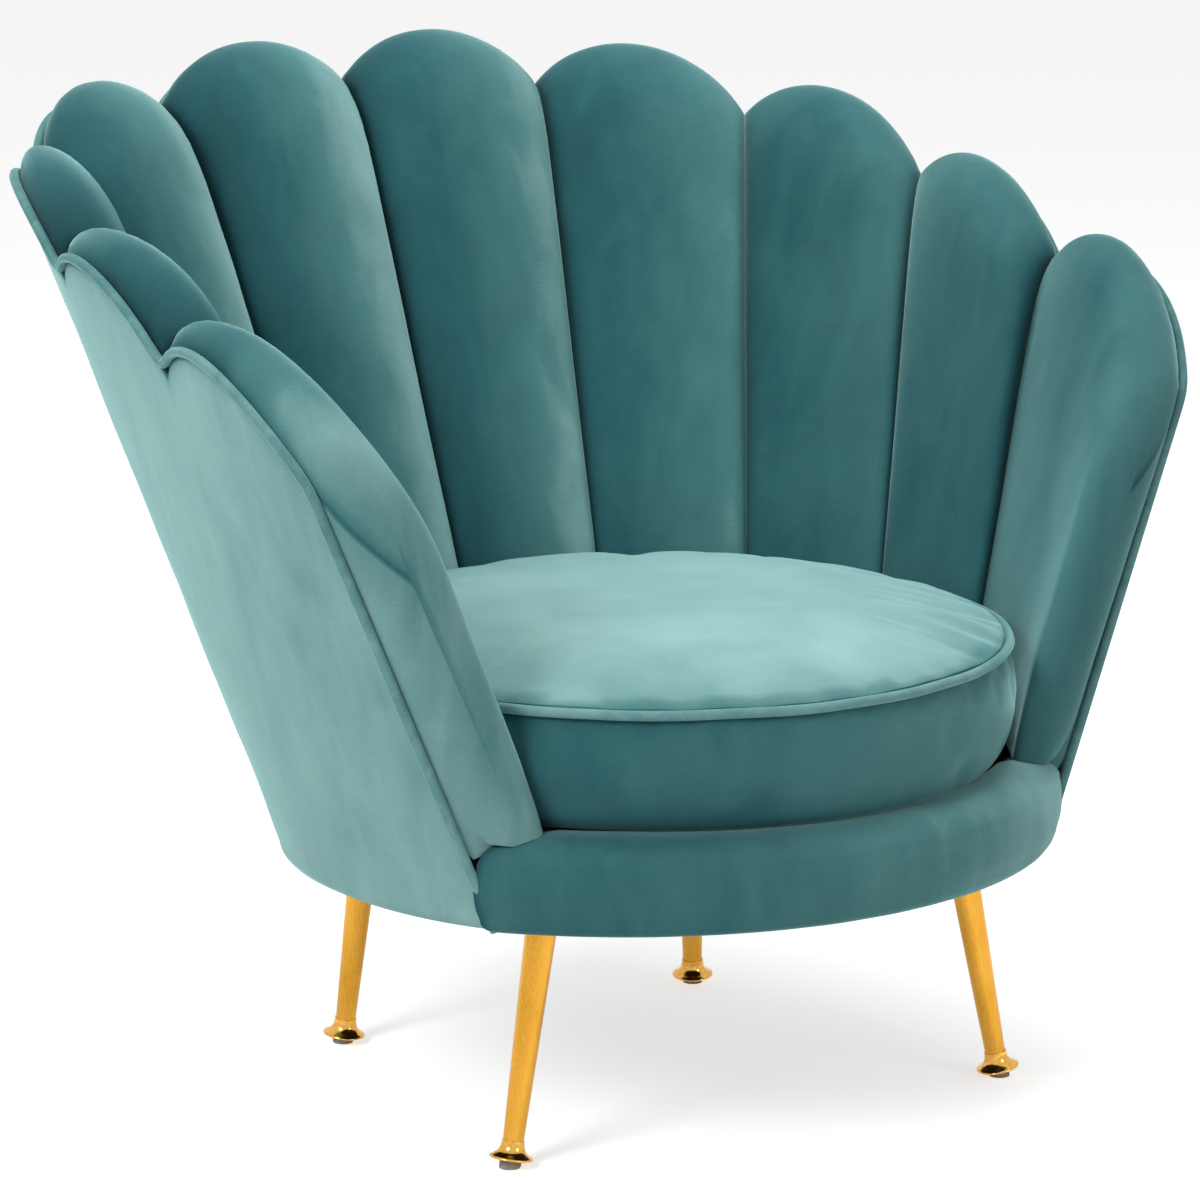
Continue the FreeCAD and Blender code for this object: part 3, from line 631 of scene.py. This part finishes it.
def arm_spread(count):
    """Shares from 0 to 1 that crowd near 0 only."""
    return [1.0 - math.cos(0.5 * math.pi * (step / (count - 1)) ** 1.15) for step in range(count)]


def soften(point, outward, seed, amount):
    """Moves a place on padding a little in or out, as hand-filled padding is uneven."""
    shift = amount * wobble(point, 0.11, seed) + 0.4 * amount * wobble(point, 0.035, seed)
    return point + outward * shift


def gathers(station, z, side):
    """Small pleats in the cloth where it is pulled into the seam near the rolled top."""
    top = station.edge + ROLL_HEIGHT - z
    near = math.exp(-side / 0.055) * math.exp(-(top / 0.075) ** 2)
    pleat = math.sin(z * 2.0 * math.pi / PLEAT_PITCH + 2.5 * math.sin(station.seam * 9.0))
    return PLEAT_DEPTH * near * pleat * min(1.0, side / 0.012)


def channel_painted_light(first, within, index, nose):
    """Painted light and shade on a channel: a painted sheen on one flank, painted shade in the seams
    and beside the piping.
    """
    across = within if first >= 0 else 1.0 - within
    turned = min(max((first + 1.0) / 4.0, 0.0), 1.0)
    # A painted sheen grows across one flank of the channel, and the other flank is painted shade
    flank_painted_light = PAINTED_SHADED_FLANK + 0.20 * turned + PAINTED_SHEEN_FLANK * (1.0 - turned) * across ** 1.6
    in_arm = first in (-LAST_SEAM, LAST_SEAM - 1)
    if in_arm:
        # On an arm the front is painted paler, the left arm more than the right
        front = min(max((within - 0.55) / 0.4, 0.0), 1.0)
        flank_painted_light = 0.38 + (0.36 if first < 0 else 0.14) * front
    side = min(within, 1.0 if in_arm and within > 0.5 else 1.0 - within)
    # Painted shade in the seams, beside the piping along the top edge and over an arm's front roll
    crease_painted_shade = PAINTED_CREASE_SHADE * math.exp(-side / 0.022)
    rim = PAINTED_PIPING_SHADE * math.exp(-index / 1.3)
    return flank_painted_light - crease_painted_shade - rim - 0.10 * nose


def ease_nose(rows, passes):
    """Softens the points of an arm's front, so its roll turns round without a fold."""
    grid = [outline for station, within, outline in rows]
    last = len(grid) - 1
    size = len(grid[0])
    first_row = BODY_ROWS - NOSE_EASED_ROWS
    for _ in range(passes):
        eased = [list(outline) for outline in grid]
        for row in range(first_row, last + 1):
            weight = min(1.0, (row - first_row + 1) / 10.0) * 0.5
            span = range(size) if row > BODY_ROWS else range(2, FACE_POINTS - 2)
            for index in span:
                mean = (grid[row - 1][index] + grid[min(row + 1, last)][index]
                        + grid[row][index - 1] + grid[row][(index + 1) % size]) / 4.0
                eased[row][index] = grid[row][index].lerp(mean, weight)
        grid = eased
    return [(station, within, outline) for (station, within, _), outline in zip(rows, grid)]


def channel(first):
    in_arm = first in (-LAST_SEAM, LAST_SEAM - 1)
    name = "flute_%02d" % (first + LAST_SEAM + 1)
    node = "channel_%02d" % (first + LAST_SEAM + 1)
    side = -1.0 if first < 0 else 1.0
    inner = abs(first) - 1 if first < 0 else first
    rim = COVER_THICKNESS + FIT_GAP
    rows = []
    for within in (arm_spread(BODY_ROWS) if in_arm else spread(BODY_ROWS)):
        count = min(max(inner + within, 1.0e-6), LAST_SEAM - 1.0e-6)
        station = Station(side * count)
        back = rim if in_arm and within > BOARD_END_SEAM - LAST_SEAM + 1 else PAD_BACK
        rows.append((station, within, pad_section(
            station, back, channel_thickness(within, in_arm), PAD_FOOT)))
    if in_arm:
        for step in range(1, NOSE_ROWS + 1):
            share = math.sin(NOSE_ROW_ANGLE * step)
            station = Station(side * (LAST_SEAM + share * ARM_FRONT_ROLL / ARM_WIDTH))
            narrow = math.sqrt(1.0 - share ** 2)
            sink = NOSE_LEAN * share + NOSE_DROP * (1.0 - narrow)
            rows.append((station, 1.0, pad_section(station, rim, ARM_FRONT_THICKNESS,
                                                   BORDER_SHOULDER[1], narrow, sink)))
        rows = ease_nose(rows, NOSE_EASING_PASSES)
    painted_light_values = []
    for number, (station, within, outline) in enumerate(rows):
        nose = max(0.0, (number - BODY_ROWS + 1) / NOSE_ROWS)
        soft = len(outline) if nose else FACE_POINTS
        edge = min(within, 1.0 if in_arm and within > 0.5 else 1.0 - within)
        fade = min(1.0, edge / 0.04)
        for index, point in enumerate(outline):
            # Each point gets its painted light and shade: sheen on one flank, shade in seams, beside
            # piping, on the front roll
            painted_light_values.append(channel_painted_light(first, within, index, nose))
            if index < soft:
                shift = PAD_WAVE * fade * (1.0 if nose else min(1.0, index / 4.0))
                point = soften(point, -station.out, first * 1.7, shift * (1.0 - 0.8 * nose))
                if edge < 0.5:
                    point = point - station.out * gathers(station, point.z, edge)
            if in_arm:
                point.z = max(point.z, border_top(point.x, point.y) + 0.0005)
            outline[index] = point
    verts, faces = skin([outline for station, within, outline in rows])
    piece = finish_mesh(name, verts, faces, VELVET, 60.0, CHAIR, painted_light_values)
    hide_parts(node)


# Outer cover and front border

def outer_cover():
    """The plain outside of the shell: from the scalloped edge down round the bottom edge."""
    outlines = []
    for first in range(-LAST_SEAM, LAST_SEAM):
        shares = [step / 24.0 for step in range(24)]
        if first == -LAST_SEAM:
            shares = [0.0, 0.008, 0.018, 0.03] + shares[1:]
        if first == LAST_SEAM - 1:
            shares = shares + [0.97, 0.982, 0.992]
        for share in shares:
            outlines.append(cover_section(Station(first + share)))
    outlines.append(cover_section(Station(float(LAST_SEAM))))
    painted_light_values = []
    for outline in outlines:
        # Painted light: the outside is set pale and darker towards the front, with a painted shade line
        # along its top edge under the piping
        front = min(max((0.1 - outline[0].y) / 0.4, 0.0), 1.0)
        for index in range(len(outline)):
            painted_light_values.append(0.95 - 0.20 * front - 0.6 * math.exp(-index / 0.8))
    verts, faces = skin(outlines)
    piece = finish_mesh("outside_cover", verts, faces, VELVET, 50.0, CHAIR, painted_light_values)
    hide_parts("outer_cover")


def cover_section(station):
    knee = UNDERSIDE + EDGE_RADIUS
    knee_radial = station.radial(0.0, knee)
    profile = []
    front = PIPING_TUCK * math.exp(-(LAST_SEAM - abs(station.seam)) / 0.022)
    for step in range(34):
        share = step / 33.0
        z = station.edge + (knee - station.edge) * (share - 0.9 * share * (1.0 - share) ** 6)
        top = PIPING_TUCK * math.exp(-(station.edge - z) / 0.006)
        point = station.at(max(top, front * min(1.0, (z - knee) / 0.02)), z)
        depth = min(1.0, (station.edge - z) / 0.05) * min(1.0, (z - knee) / 0.04)
        profile.append(soften(point, station.out, 40.0, COVER_WAVE * depth))
    for step in range(1, 9):
        angle = math.radians(90.0 * step / 8.0)
        profile.append(station.place(knee_radial - EDGE_RADIUS * (1.0 - math.cos(angle)),
                                     knee - EDGE_RADIUS * math.sin(angle)))
    foot = knee_radial - EDGE_RADIUS
    profile.append(station.place(foot - HEM_WIDTH, UNDERSIDE))
    profile.append(station.place(foot - HEM_WIDTH, UNDERSIDE + COVER_THICKNESS))
    profile.append(station.place(foot, UNDERSIDE + COVER_THICKNESS))
    profile.append(station.place(knee_radial - COVER_THICKNESS, knee))
    profile.append(station.at(COVER_THICKNESS, station.edge))
    return profile


def front_meeting(side, inset, room):
    """The angle round the seat's front where a level arc meets the plane of an arm front."""
    station = Station(side * LAST_SEAM)
    shift = station.along() * (-side * room)
    x = station.x + shift.x
    y = station.y + shift.y - FRONT_CENTRE_Y
    radius = FRONT_RADIUS - inset
    half = x * station.out.x + y * station.out.y
    rest = x * x + y * y - radius * radius
    reach = -half + math.sqrt(half * half - rest)
    return math.atan2(x + station.out.x * reach, -(y + station.out.y * reach))


def border_profile():
    """(inset, height) of the border, from its ledge round its front and bottom, and back inside."""
    profile = []
    reach = BORDER_LEDGE - BORDER_SHOULDER[0]
    for step in range(13):
        angle = math.radians(90.0 * step / 12.0)
        profile.append((BORDER_LEDGE - reach * math.sin(angle),
                        BORDER_SHOULDER[1] + (BORDER_TOP - BORDER_SHOULDER[1]) * math.cos(angle)))
    knee = UNDERSIDE + EDGE_RADIUS
    knots = [BORDER_SHOULDER, (0.0004, 0.256), (0.0, BORDER_BELLY), (0.0012, 0.232),
             (BORDER_FOOT_INSET, knee)]
    profile += smooth_line(knots, 12)[1:]
    for step in range(1, 7):
        angle = math.radians(90.0 * step / 6.0)
        profile.append((BORDER_FOOT_INSET + EDGE_RADIUS * (1.0 - math.cos(angle)),
                        knee - EDGE_RADIUS * math.sin(angle)))
    inside = RAIL_INSET - FIT_GAP
    profile += [(BORDER_FLAP, UNDERSIDE), (BORDER_FLAP, UNDERSIDE + COVER_THICKNESS),
                (RAIL_INSET + 0.006, UNDERSIDE + COVER_THICKNESS), (inside, BASE_BOARD_TOP),
                (inside, SEAT_LEVEL + FIT_GAP), (BORDER_LIP, SEAT_LEVEL + FIT_GAP),
                (BORDER_LIP, BORDER_TOP)]
    return profile


def front_border():
    """The padded band under the cushion, from one arm front to the other."""
    profile = border_profile()
    room = CORD_RADIUS + FIT_GAP
    ends = [(front_meeting(-1.0, inset, room), front_meeting(1.0, inset, room))
            for inset, z in profile]
    outlines = []
    painted_light_values = []
    for step in range(BORDER_STEPS + 1):
        share = step / BORDER_STEPS
        outline = []
        for (inset, z), (start, end) in zip(profile, ends):
            angle = start + (end - start) * share
            outward = Vector((math.sin(angle), -math.cos(angle), 0.0))
            radius = FRONT_RADIUS - inset
            point = Vector((0.0, FRONT_CENTRE_Y, z)) + outward * radius
            if inset < RAIL_INSET - 2.0 * FIT_GAP and 0.0 < share < 1.0:
                point = soften(point, outward, 21.0, PAD_WAVE)
            outline.append(point)
            # Painted light and shade on the border: a painted sheen growing towards the right end, and
            # painted shade at both ends beside the arms
            painted_light_values.append(0.32 + 0.48 * share ** 1.3 - 0.2 * math.exp(-min(share, 1.0 - share) / 0.005))
        outlines.append(outline)
    verts, faces = skin(outlines)
    piece = finish_mesh("seat_border", verts, faces, VELVET, 50.0, CHAIR, painted_light_values)
    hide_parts("front_border")


# Piping round the shell

def edge_slope(seam):
    step = 0.01
    count = abs(seam)
    inward = -step if count % 1.0 > 0.5 or count == LAST_SEAM else step
    here = Station(seam)
    there = Station(math.copysign(count + inward, seam))
    run = here.at(0.0, here.edge) - there.at(0.0, there.edge)
    return run.z / math.hypot(run.x, run.y)


def arm_forward(seam):
    return Station(seam).along() * (-math.copysign(CORD_FORWARD, seam))


def edge_cord_centre(seam):
    station = Station(seam)
    lift = (CORD_RADIUS + FIT_GAP) * math.sqrt(1.0 + min(edge_slope(seam) ** 2, 1.0))
    return station.at(CORD_INSET, station.edge + lift)


def outline_piping():
    """One cord up an arm front, along the scalloped edge and down the other arm front."""
    runs = []
    last = float(LAST_SEAM)
    foot = Station(-last).at(CORD_INSET, UNDERSIDE + 0.001) + arm_forward(-last)
    top = edge_cord_centre(-last) + arm_forward(-last)
    for step in range(ARM_CORD_STEPS):
        runs.append((foot.lerp(top, step / ARM_CORD_STEPS), Station(-last).out))
    for index in range(2 * LAST_SEAM * SEAM_CORD_STEPS + 1):
        seam = -last + index / SEAM_CORD_STEPS
        centre = edge_cord_centre(seam)
        if abs(seam) == last:
            centre += arm_forward(seam)
        runs.append((centre, Station(seam).out))
    for centre, out in reversed(runs[:ARM_CORD_STEPS]):
        runs.append((Vector((-centre.x, centre.y, centre.z)), Vector((-out.x, out.y, 0.0))))
    centres = [centre for centre, out in runs]
    for _ in range(CORD_EASING_PASSES):
        eased = [centres[0]]
        for before, here, after in zip(centres[:-2], centres[1:-1], centres[2:]):
            eased.append((before + here * 2.0 + after) * 0.25)
        centres = eased + [centres[-1]]
    verts, faces = skin(cord(centres, [out for centre, out in runs]))
    piece = finish_mesh("edge_piping", verts, faces, PIPING, 60.0, CHAIR,
                        [0.66] * len(verts))
    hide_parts("outline_piping")


# Loose cushion

def cushion_profile(inset):
    """(radius, height) from the middle of the underside, round the side, to the middle of the top."""
    half = CUSHION_RADIUS - inset
    low = CUSHION_LEVEL + inset
    top = CUSHION_PIPING + CUSHION_CROWN - inset
    side = CUSHION_PIPING - low
    groove = CORD_RADIUS
    profile = []
    foot = half - CUSHION_FOOT_INSET
    for step in range(1, 24):
        profile.append((foot * step / 24.0, low))
    knots = [(foot, low), (foot + 0.008, low + 0.0015), (half - 0.003, low + 0.14 * side),
             (half + CUSHION_BULGE, low + 0.45 * side), (half + 0.6 * CUSHION_BULGE, low + 0.78 * side),
             (half - 0.4 * groove, CUSHION_PIPING - groove)]
    profile += smooth_line(knots, 20)
    rim = CUSHION_PIPING + groove
    profile += [(half - 1.4 * groove, CUSHION_PIPING), (half - 0.4 * groove, rim)]
    for step in range(1, 30):
        share = 1.0 - step / 30.0
        profile.append(((half - 0.4 * groove) * share,
                        rim + (top - rim) * (1.0 - share ** 3.2) ** 0.9))
    return profile


def lathe(profile, sides, centre, ends):
    """Points and faces of a form turned about an upright axis, closed at both ends."""
    verts = []
    for radius, z in profile:
        for index in range(sides):
            angle = 2.0 * math.pi * index / sides
            verts.append(centre + Vector((radius * math.cos(angle), radius * math.sin(angle), z)))
    faces = []
    for row in range(len(profile) - 1):
        for index in range(sides):
            ahead = (index + 1) % sides
            faces.append((row * sides + index, row * sides + ahead,
                          (row + 1) * sides + ahead, (row + 1) * sides + index))
    for level, row in zip(ends, (0, len(profile) - 1)):
        verts.append(centre + Vector((0.0, 0.0, level)))
        for index in range(sides):
            faces.append((row * sides + index, row * sides + (index + 1) % sides, len(verts) - 1))
    return verts, faces


def inflate(obj, held, weight):
    """Fills the piece with air as cloth, keeps the held points, and caps each point's move.

    weight says for a place at rest how much of its move is kept, from 0 to 1.
    """
    rest = [vert.co.copy() for vert in obj.data.vertices]
    group = obj.vertex_groups.new(name="held")
    group.add(held, 1.0, "REPLACE")
    modifier = obj.modifiers.new("filling", "CLOTH")
    settings = modifier.settings
    settings.quality = 6
    settings.mass = 0.3
    settings.tension_stiffness = 20.0
    settings.compression_stiffness = 20.0
    settings.shear_stiffness = 10.0
    settings.bending_stiffness = 0.6
    settings.use_pressure = True
    settings.uniform_pressure_force = FILL_PRESSURE
    settings.shrink_min = -0.012
    settings.vertex_group_mass = "held"
    settings.effector_weights.gravity = 0.0
    modifier.collision_settings.use_collision = False
    modifier.point_cache.frame_start = 1
    modifier.point_cache.frame_end = FILL_FRAMES
    scene = bpy.context.scene
    for frame_number in range(1, FILL_FRAMES + 1):
        scene.frame_set(frame_number)
    depsgraph = bpy.context.evaluated_depsgraph_get()
    moved = [vert.co.copy() for vert in obj.evaluated_get(depsgraph).data.vertices]
    obj.modifiers.remove(modifier)
    obj.vertex_groups.remove(group)
    scene.frame_set(1)
    for vert, start, end in zip(obj.data.vertices, rest, moved):
        shift = (end - start) * weight(start)
        if shift.length > FILL_LIMIT:
            shift *= FILL_LIMIT / shift.length
        vert.co = start + shift
    obj.data.update()


def cushion_painted_light(vert):
    """Painted light and shade on the cushion: a pale top, a painted sheen along the side, and painted
    shade at the cord and foot.
    """
    # Painted shade along the piping
    cord = 0.30 * math.exp(-abs(vert.z - CUSHION_PIPING) / 0.004)
    radius = math.hypot(vert.x, vert.y - CUSHION_CENTRE_Y)
    # The top is painted pale, a little darker towards its edge
    if vert.z > CUSHION_PIPING and radius < CUSHION_RADIUS - 0.012:
        return 0.95 - 0.2 * (radius / CUSHION_RADIUS) ** 4
    if vert.z > CUSHION_PIPING:
        return 0.7 - cord
    # Painted shade along the foot, and a painted sheen growing towards the right along the side
    foot = 0.25 * math.exp(-(vert.z - CUSHION_LEVEL) / 0.008)
    across = min(max(0.5 + 0.5 * vert.x / CUSHION_RADIUS, 0.0), 1.0)
    return 0.26 + 0.46 * across - cord - foot


def seat_cushion():
    centre = Vector((0.0, CUSHION_CENTRE_Y, 0.0))
    verts, faces = lathe(cushion_profile(0.0), CUSHION_SIDES, centre,
                         (CUSHION_LEVEL, CUSHION_PIPING + CUSHION_CROWN))
    for vert in verts:
        away = vert - centre
        shift = 0.0015 * wobble(vert, 0.12, 3.0) + 0.0008 * wobble(vert, 0.045, 8.0)
        if vert.z > CUSHION_LEVEL + 0.004:
            away.z = 0.0
            if away.length > 0.25:
                vert += away.normalized() * shift
            else:
                vert.z += shift
    piece = finish_mesh("cushion", verts, faces, VELVET_LEVEL, 70.0, CUSHION,
                        [cushion_painted_light(vert) for vert in verts])
    groove = [vert.index for vert in piece.data.vertices
              if abs(vert.co.z - CUSHION_PIPING) < 0.0015
              and math.hypot(vert.co.x, vert.co.y - CUSHION_CENTRE_Y) > 0.28]
    under = [vert.index for vert in piece.data.vertices if vert.co.z < CUSHION_LEVEL + 0.001]

    def free(start):
        return 1.0 if start.z > CUSHION_LEVEL + 0.012 else 0.3
    inflate(piece, groove + under, free)
    refine = piece.modifiers.new("smooth", "SUBSURF")
    refine.levels = 1
    refine.render_levels = 1
    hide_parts("cushion_cover")


def cushion_cord():
    """The cord round the top edge of the cushion, a little wavy as sewn piping is."""
    centres = []
    outwards = []
    for index in range(CUSHION_CORD_STEPS):
        angle = 2.0 * math.pi * index / CUSHION_CORD_STEPS
        outward = Vector((math.cos(angle), math.sin(angle), 0.0))
        centre = Vector((0.0, CUSHION_CENTRE_Y, CUSHION_PIPING)) + outward * CUSHION_RADIUS
        centre.z += 0.0012 * wobble(centre, 0.06, 5.0)
        centre += outward * (0.0012 * wobble(centre, 0.08, 9.0))
        centres.append(centre)
        outwards.append(outward)
    verts, faces = skin(cord(centres, outwards, True), True)
    piece = finish_mesh("cushion_cord", verts, faces, PIPING, 60.0, CUSHION,
                        [0.7] * len(verts))
    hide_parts("cushion_piping")


def cushion_filling():
    """The foam inside the cushion's cover."""
    ends = (CUSHION_LEVEL + COVER_WALL, CUSHION_PIPING + CUSHION_CROWN - COVER_WALL)
    verts, faces = lathe(cushion_profile(COVER_WALL), FOAM_SIDES,
                         Vector((0.0, CUSHION_CENTRE_Y, 0.0)), ends)
    piece = finish_mesh("foam_core", verts, faces, FOAM, 70.0, CUSHION)
    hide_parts("cushion_foam")


def deck():
    """The felt pad over the webbing: soft edges, and a slightly uneven top."""
    radius = CUSHION_RADIUS - CUSHION_FOOT_INSET - DECK_MARGIN
    low = PAD_FOOT
    top = CUSHION_LEVEL - FIT_GAP
    profile = [(radius * step / 16.0, low) for step in range(1, 16)]
    profile += [(radius - 0.001, low), (radius, low + 0.003), (radius, top - 0.004),
                (radius - 0.0015, top - 0.0012), (radius - 0.005, top)]
    profile += [((radius - 0.005) * (1.0 - step / 24.0), top) for step in range(1, 24)]
    centre = Vector((0.0, CUSHION_CENTRE_Y, 0.0))
    verts, faces = lathe(profile, DECK_SIDES, centre, (low, top))
    for vert in verts:
        if vert.z > top - 0.0005:
            vert.z -= 0.0012 * (0.5 + 0.5 * wobble(vert, 0.05, 2.0))
    piece = finish_mesh("deck_felt", verts, faces, FELT, 70.0, CHAIR)
    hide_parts("deck_pad")


# Legs

def turned(start, axis, levels, sides=LEG_SIDES, flat=None):
    """Outlines round a slanted axis. flat gives a level height that an outline is cut at."""
    across = Vector((0.0, 1.0, 0.0)).cross(axis).normalized()
    beside = axis.cross(across)
    outlines = []
    for index, (radius, distance) in enumerate(levels):
        outline = []
        for corner in range(sides):
            angle = 2.0 * math.pi * corner / sides
            point = start + axis * distance + across * (radius * math.cos(angle)) \
                + beside * (radius * math.sin(angle))
            if flat and index in flat:
                point = point + axis * ((flat[index] - point.z) / axis.z)
            outline.append(point)
        outlines.append(outline)
    return outlines


def leg(name):
    """One tapered tube, leaning out to its foot and cut level at its top."""
    foot, top = LEGS[name]
    start = Vector((foot[0], foot[1], DISC_LEVEL))
    end = Vector((top[0], top[1], LEG_TOP_LEVEL))
    length = (end - start).length
    axis = (end - start).normalized()
    levels = []
    for step in range(LEG_ROWS + 1):
        share = step / LEG_ROWS
        levels.append((LEG_FOOT_RADIUS + (LEG_TOP_RADIUS - LEG_FOOT_RADIUS) * share,
                       DISC_HEIGHT + (length - DISC_HEIGHT) * share))
    levels += [(LEG_TOP_RADIUS - LEG_WALL, length), (LEG_FOOT_RADIUS - LEG_WALL, DISC_HEIGHT)]
    outlines = turned(start, axis, levels, LEG_SIDES,
                      {LEG_ROWS: LEG_TOP_LEVEL, LEG_ROWS + 1: LEG_TOP_LEVEL})
    verts, faces = skin(outlines, True)
    piece = finish_mesh("tube_" + name, verts, faces, GOLD, 40.0, CHAIR)
    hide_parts("leg_" + name)


def feet():
    """The flared gold discs at the foot of the legs, and the small pads under them."""
    flare = [(0.0150, 0.0), (0.0172, 0.0002), (0.0182, 0.0007), (0.0185, 0.0014), (0.0182, 0.0022),
             (0.0172, 0.0030), (0.0152, 0.0040), (0.0128, 0.0056), (0.0112, 0.0078),
             (0.0102, 0.0105), (0.0097, 0.0135), (0.0096, DISC_HEIGHT)]
    spigot = LEG_FOOT_RADIUS - LEG_WALL - FIT_GAP
    flare += [(spigot, DISC_HEIGHT + 0.0001), (spigot, DISC_HEIGHT + SPIGOT_LENGTH)]
    for kind, material in (("disc", POLISHED_GOLD), ("glide", GLIDE)):
        verts = []
        faces = []
        for foot, top in LEGS.values():
            start = Vector((foot[0], foot[1], DISC_LEVEL))
            axis = (Vector((top[0], top[1], LEG_TOP_LEVEL)) - start).normalized()
            if kind == "disc":
                outlines = turned(start, axis, flare)
            else:
                levels = [(GLIDE_RADIUS - 0.0012, 0.0), (GLIDE_RADIUS - 0.0003, 0.0),
                          (GLIDE_RADIUS, 0.0), (GLIDE_RADIUS, 0.0)]
                outlines = turned(start, axis, levels, GLIDE_SIDES, {0: 0.0, 1: 0.0004, 2: 0.0014})
            more, sides = skin(outlines)
            faces += [tuple(index + len(verts) for index in side) for side in sides]
            verts += more
        piece = finish_mesh("feet_" + kind, verts, faces, material, 40.0, CHAIR)
        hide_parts("foot_discs" if kind == "disc" else "glides")


# Hidden frame: the solids stay and get their materials

def dress_frame():
    wooden = ["mid_hoop", "arm_post_left", "arm_post_right", "seat_hoop", "front_rail", "base_board",
              "corner_blocks"] + ["back_rib_%d" % number for number in range(1, 10)]
    finishes = {name: PLYWOOD for name in wooden}
    finishes["inner_shell_board"] = FIBREBOARD
    finishes["dust_cover"] = DUST_CLOTH
    finishes["webbing_lengthwise"] = WEBBING
    finishes["webbing_crosswise"] = WEBBING
    finishes["leg_studs"] = STEEL
    finishes["leg_nuts"] = STEEL
    for name, material in finishes.items():
        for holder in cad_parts[name].material_slots:
            holder.material = material


# Studio

def studio():
    azimuth = math.radians(CAMERA_AZIMUTH)
    height = math.radians(CAMERA_HEIGHT_ANGLE)
    ahead = Vector((math.sin(azimuth) * math.cos(height), math.cos(azimuth) * math.cos(height),
                    -math.sin(height)))
    data = bpy.data.cameras.new("camera")
    data.lens = CAMERA_LENS
    data.sensor_width = SENSOR_WIDTH
    data.clip_end = 60.0
    camera = bpy.data.objects.new("camera", data)
    bpy.context.scene.collection.objects.link(camera)
    camera.location = Vector(CAMERA_TARGET) - ahead * CAMERA_DISTANCE
    camera.rotation_mode = "QUATERNION"
    camera.rotation_quaternion = ahead.to_track_quat("-Z", "Y")
    bpy.context.scene.camera = camera

    floor_data = bpy.data.meshes.new("floor")
    corners = [(FLOOR_HALF * x, FLOOR_HALF * y, 0.0) for x, y in ((-1, -1), (1, -1), (1, 1), (-1, 1))]
    floor_data.from_pydata(corners, [], [(0, 1, 2, 3)])
    floor = bpy.data.objects.new("floor", floor_data)
    bpy.context.scene.collection.objects.link(floor)
    floor_data.materials.append(floor_material())
    world_light()

    for name, (place, aim, size, power) in LAMPS.items():
        lamp(name, place, aim, size, power)
    bpy.context.scene.view_settings.view_transform = "Standard"


def lamp(name, place, aim, size, power):
    data = bpy.data.lights.new(name, "AREA")
    data.shape = "DISK"
    data.size = size
    data.energy = power
    obj = bpy.data.objects.new(name, data)
    bpy.context.scene.collection.objects.link(obj)
    obj.location = place
    obj.rotation_mode = "QUATERNION"
    obj.rotation_quaternion = (Vector(aim) - Vector(place)).to_track_quat("-Z", "Y")


def seen_rays(tree):
    """1 for the rays that look at the surroundings, straight, mirrored or through glass."""
    path = tree.nodes.new("ShaderNodeLightPath")
    total = path.outputs["Is Camera Ray"]
    for name in ("Is Glossy Ray", "Is Transmission Ray"):
        node = tree.nodes.new("ShaderNodeMath")
        node.operation = "MAXIMUM"
        tree.links.new(total, node.inputs[0])
        tree.links.new(path.outputs[name], node.inputs[1])
        total = node.outputs[0]
    return total


def floor_material():
    """Pale floor that keeps the shadow and reads as white where it is lit."""
    material = bpy.data.materials.new("floor")
    material.use_nodes = True
    tree = material.node_tree
    shader = tree.nodes["Principled BSDF"]
    shader.inputs["Base Color"].default_value = FLOOR_TONE
    shader.inputs["Roughness"].default_value = 0.9
    shader.inputs["Specular IOR Level"].default_value = 0.0
    glow = tree.nodes.new("ShaderNodeEmission")
    scale = tree.nodes.new("ShaderNodeMath")
    scale.operation = "MULTIPLY"
    scale.inputs[1].default_value = FLOOR_GLOW
    tree.links.new(seen_rays(tree), scale.inputs[0])
    tree.links.new(scale.outputs[0], glow.inputs["Strength"])
    both = tree.nodes.new("ShaderNodeAddShader")
    tree.links.new(shader.outputs["BSDF"], both.inputs[0])
    tree.links.new(glow.outputs["Emission"], both.inputs[1])
    tree.links.new(both.outputs["Shader"], tree.nodes["Material Output"].inputs["Surface"])
    return material


def world_light():
    world = bpy.data.worlds.new("studio")
    world.use_nodes = True
    bpy.context.scene.world = world
    tree = world.node_tree
    background = tree.nodes["Background"]
    background.inputs["Color"].default_value = (1.0, 1.0, 1.0, 1.0)
    blend = tree.nodes.new("ShaderNodeMapRange")
    blend.inputs["To Min"].default_value = ROOM_LIGHT
    blend.inputs["To Max"].default_value = 1.0
    tree.links.new(seen_rays(tree), blend.inputs["Value"])
    tree.links.new(blend.outputs["Result"], background.inputs["Strength"])


for first_seam in range(-LAST_SEAM, LAST_SEAM):
    channel(first_seam)
outer_cover()
front_border()
outline_piping()
seat_cushion()
cushion_cord()
cushion_filling()
deck()
for leg_name in LEGS:
    leg(leg_name)
feet()
dress_frame()
studio()
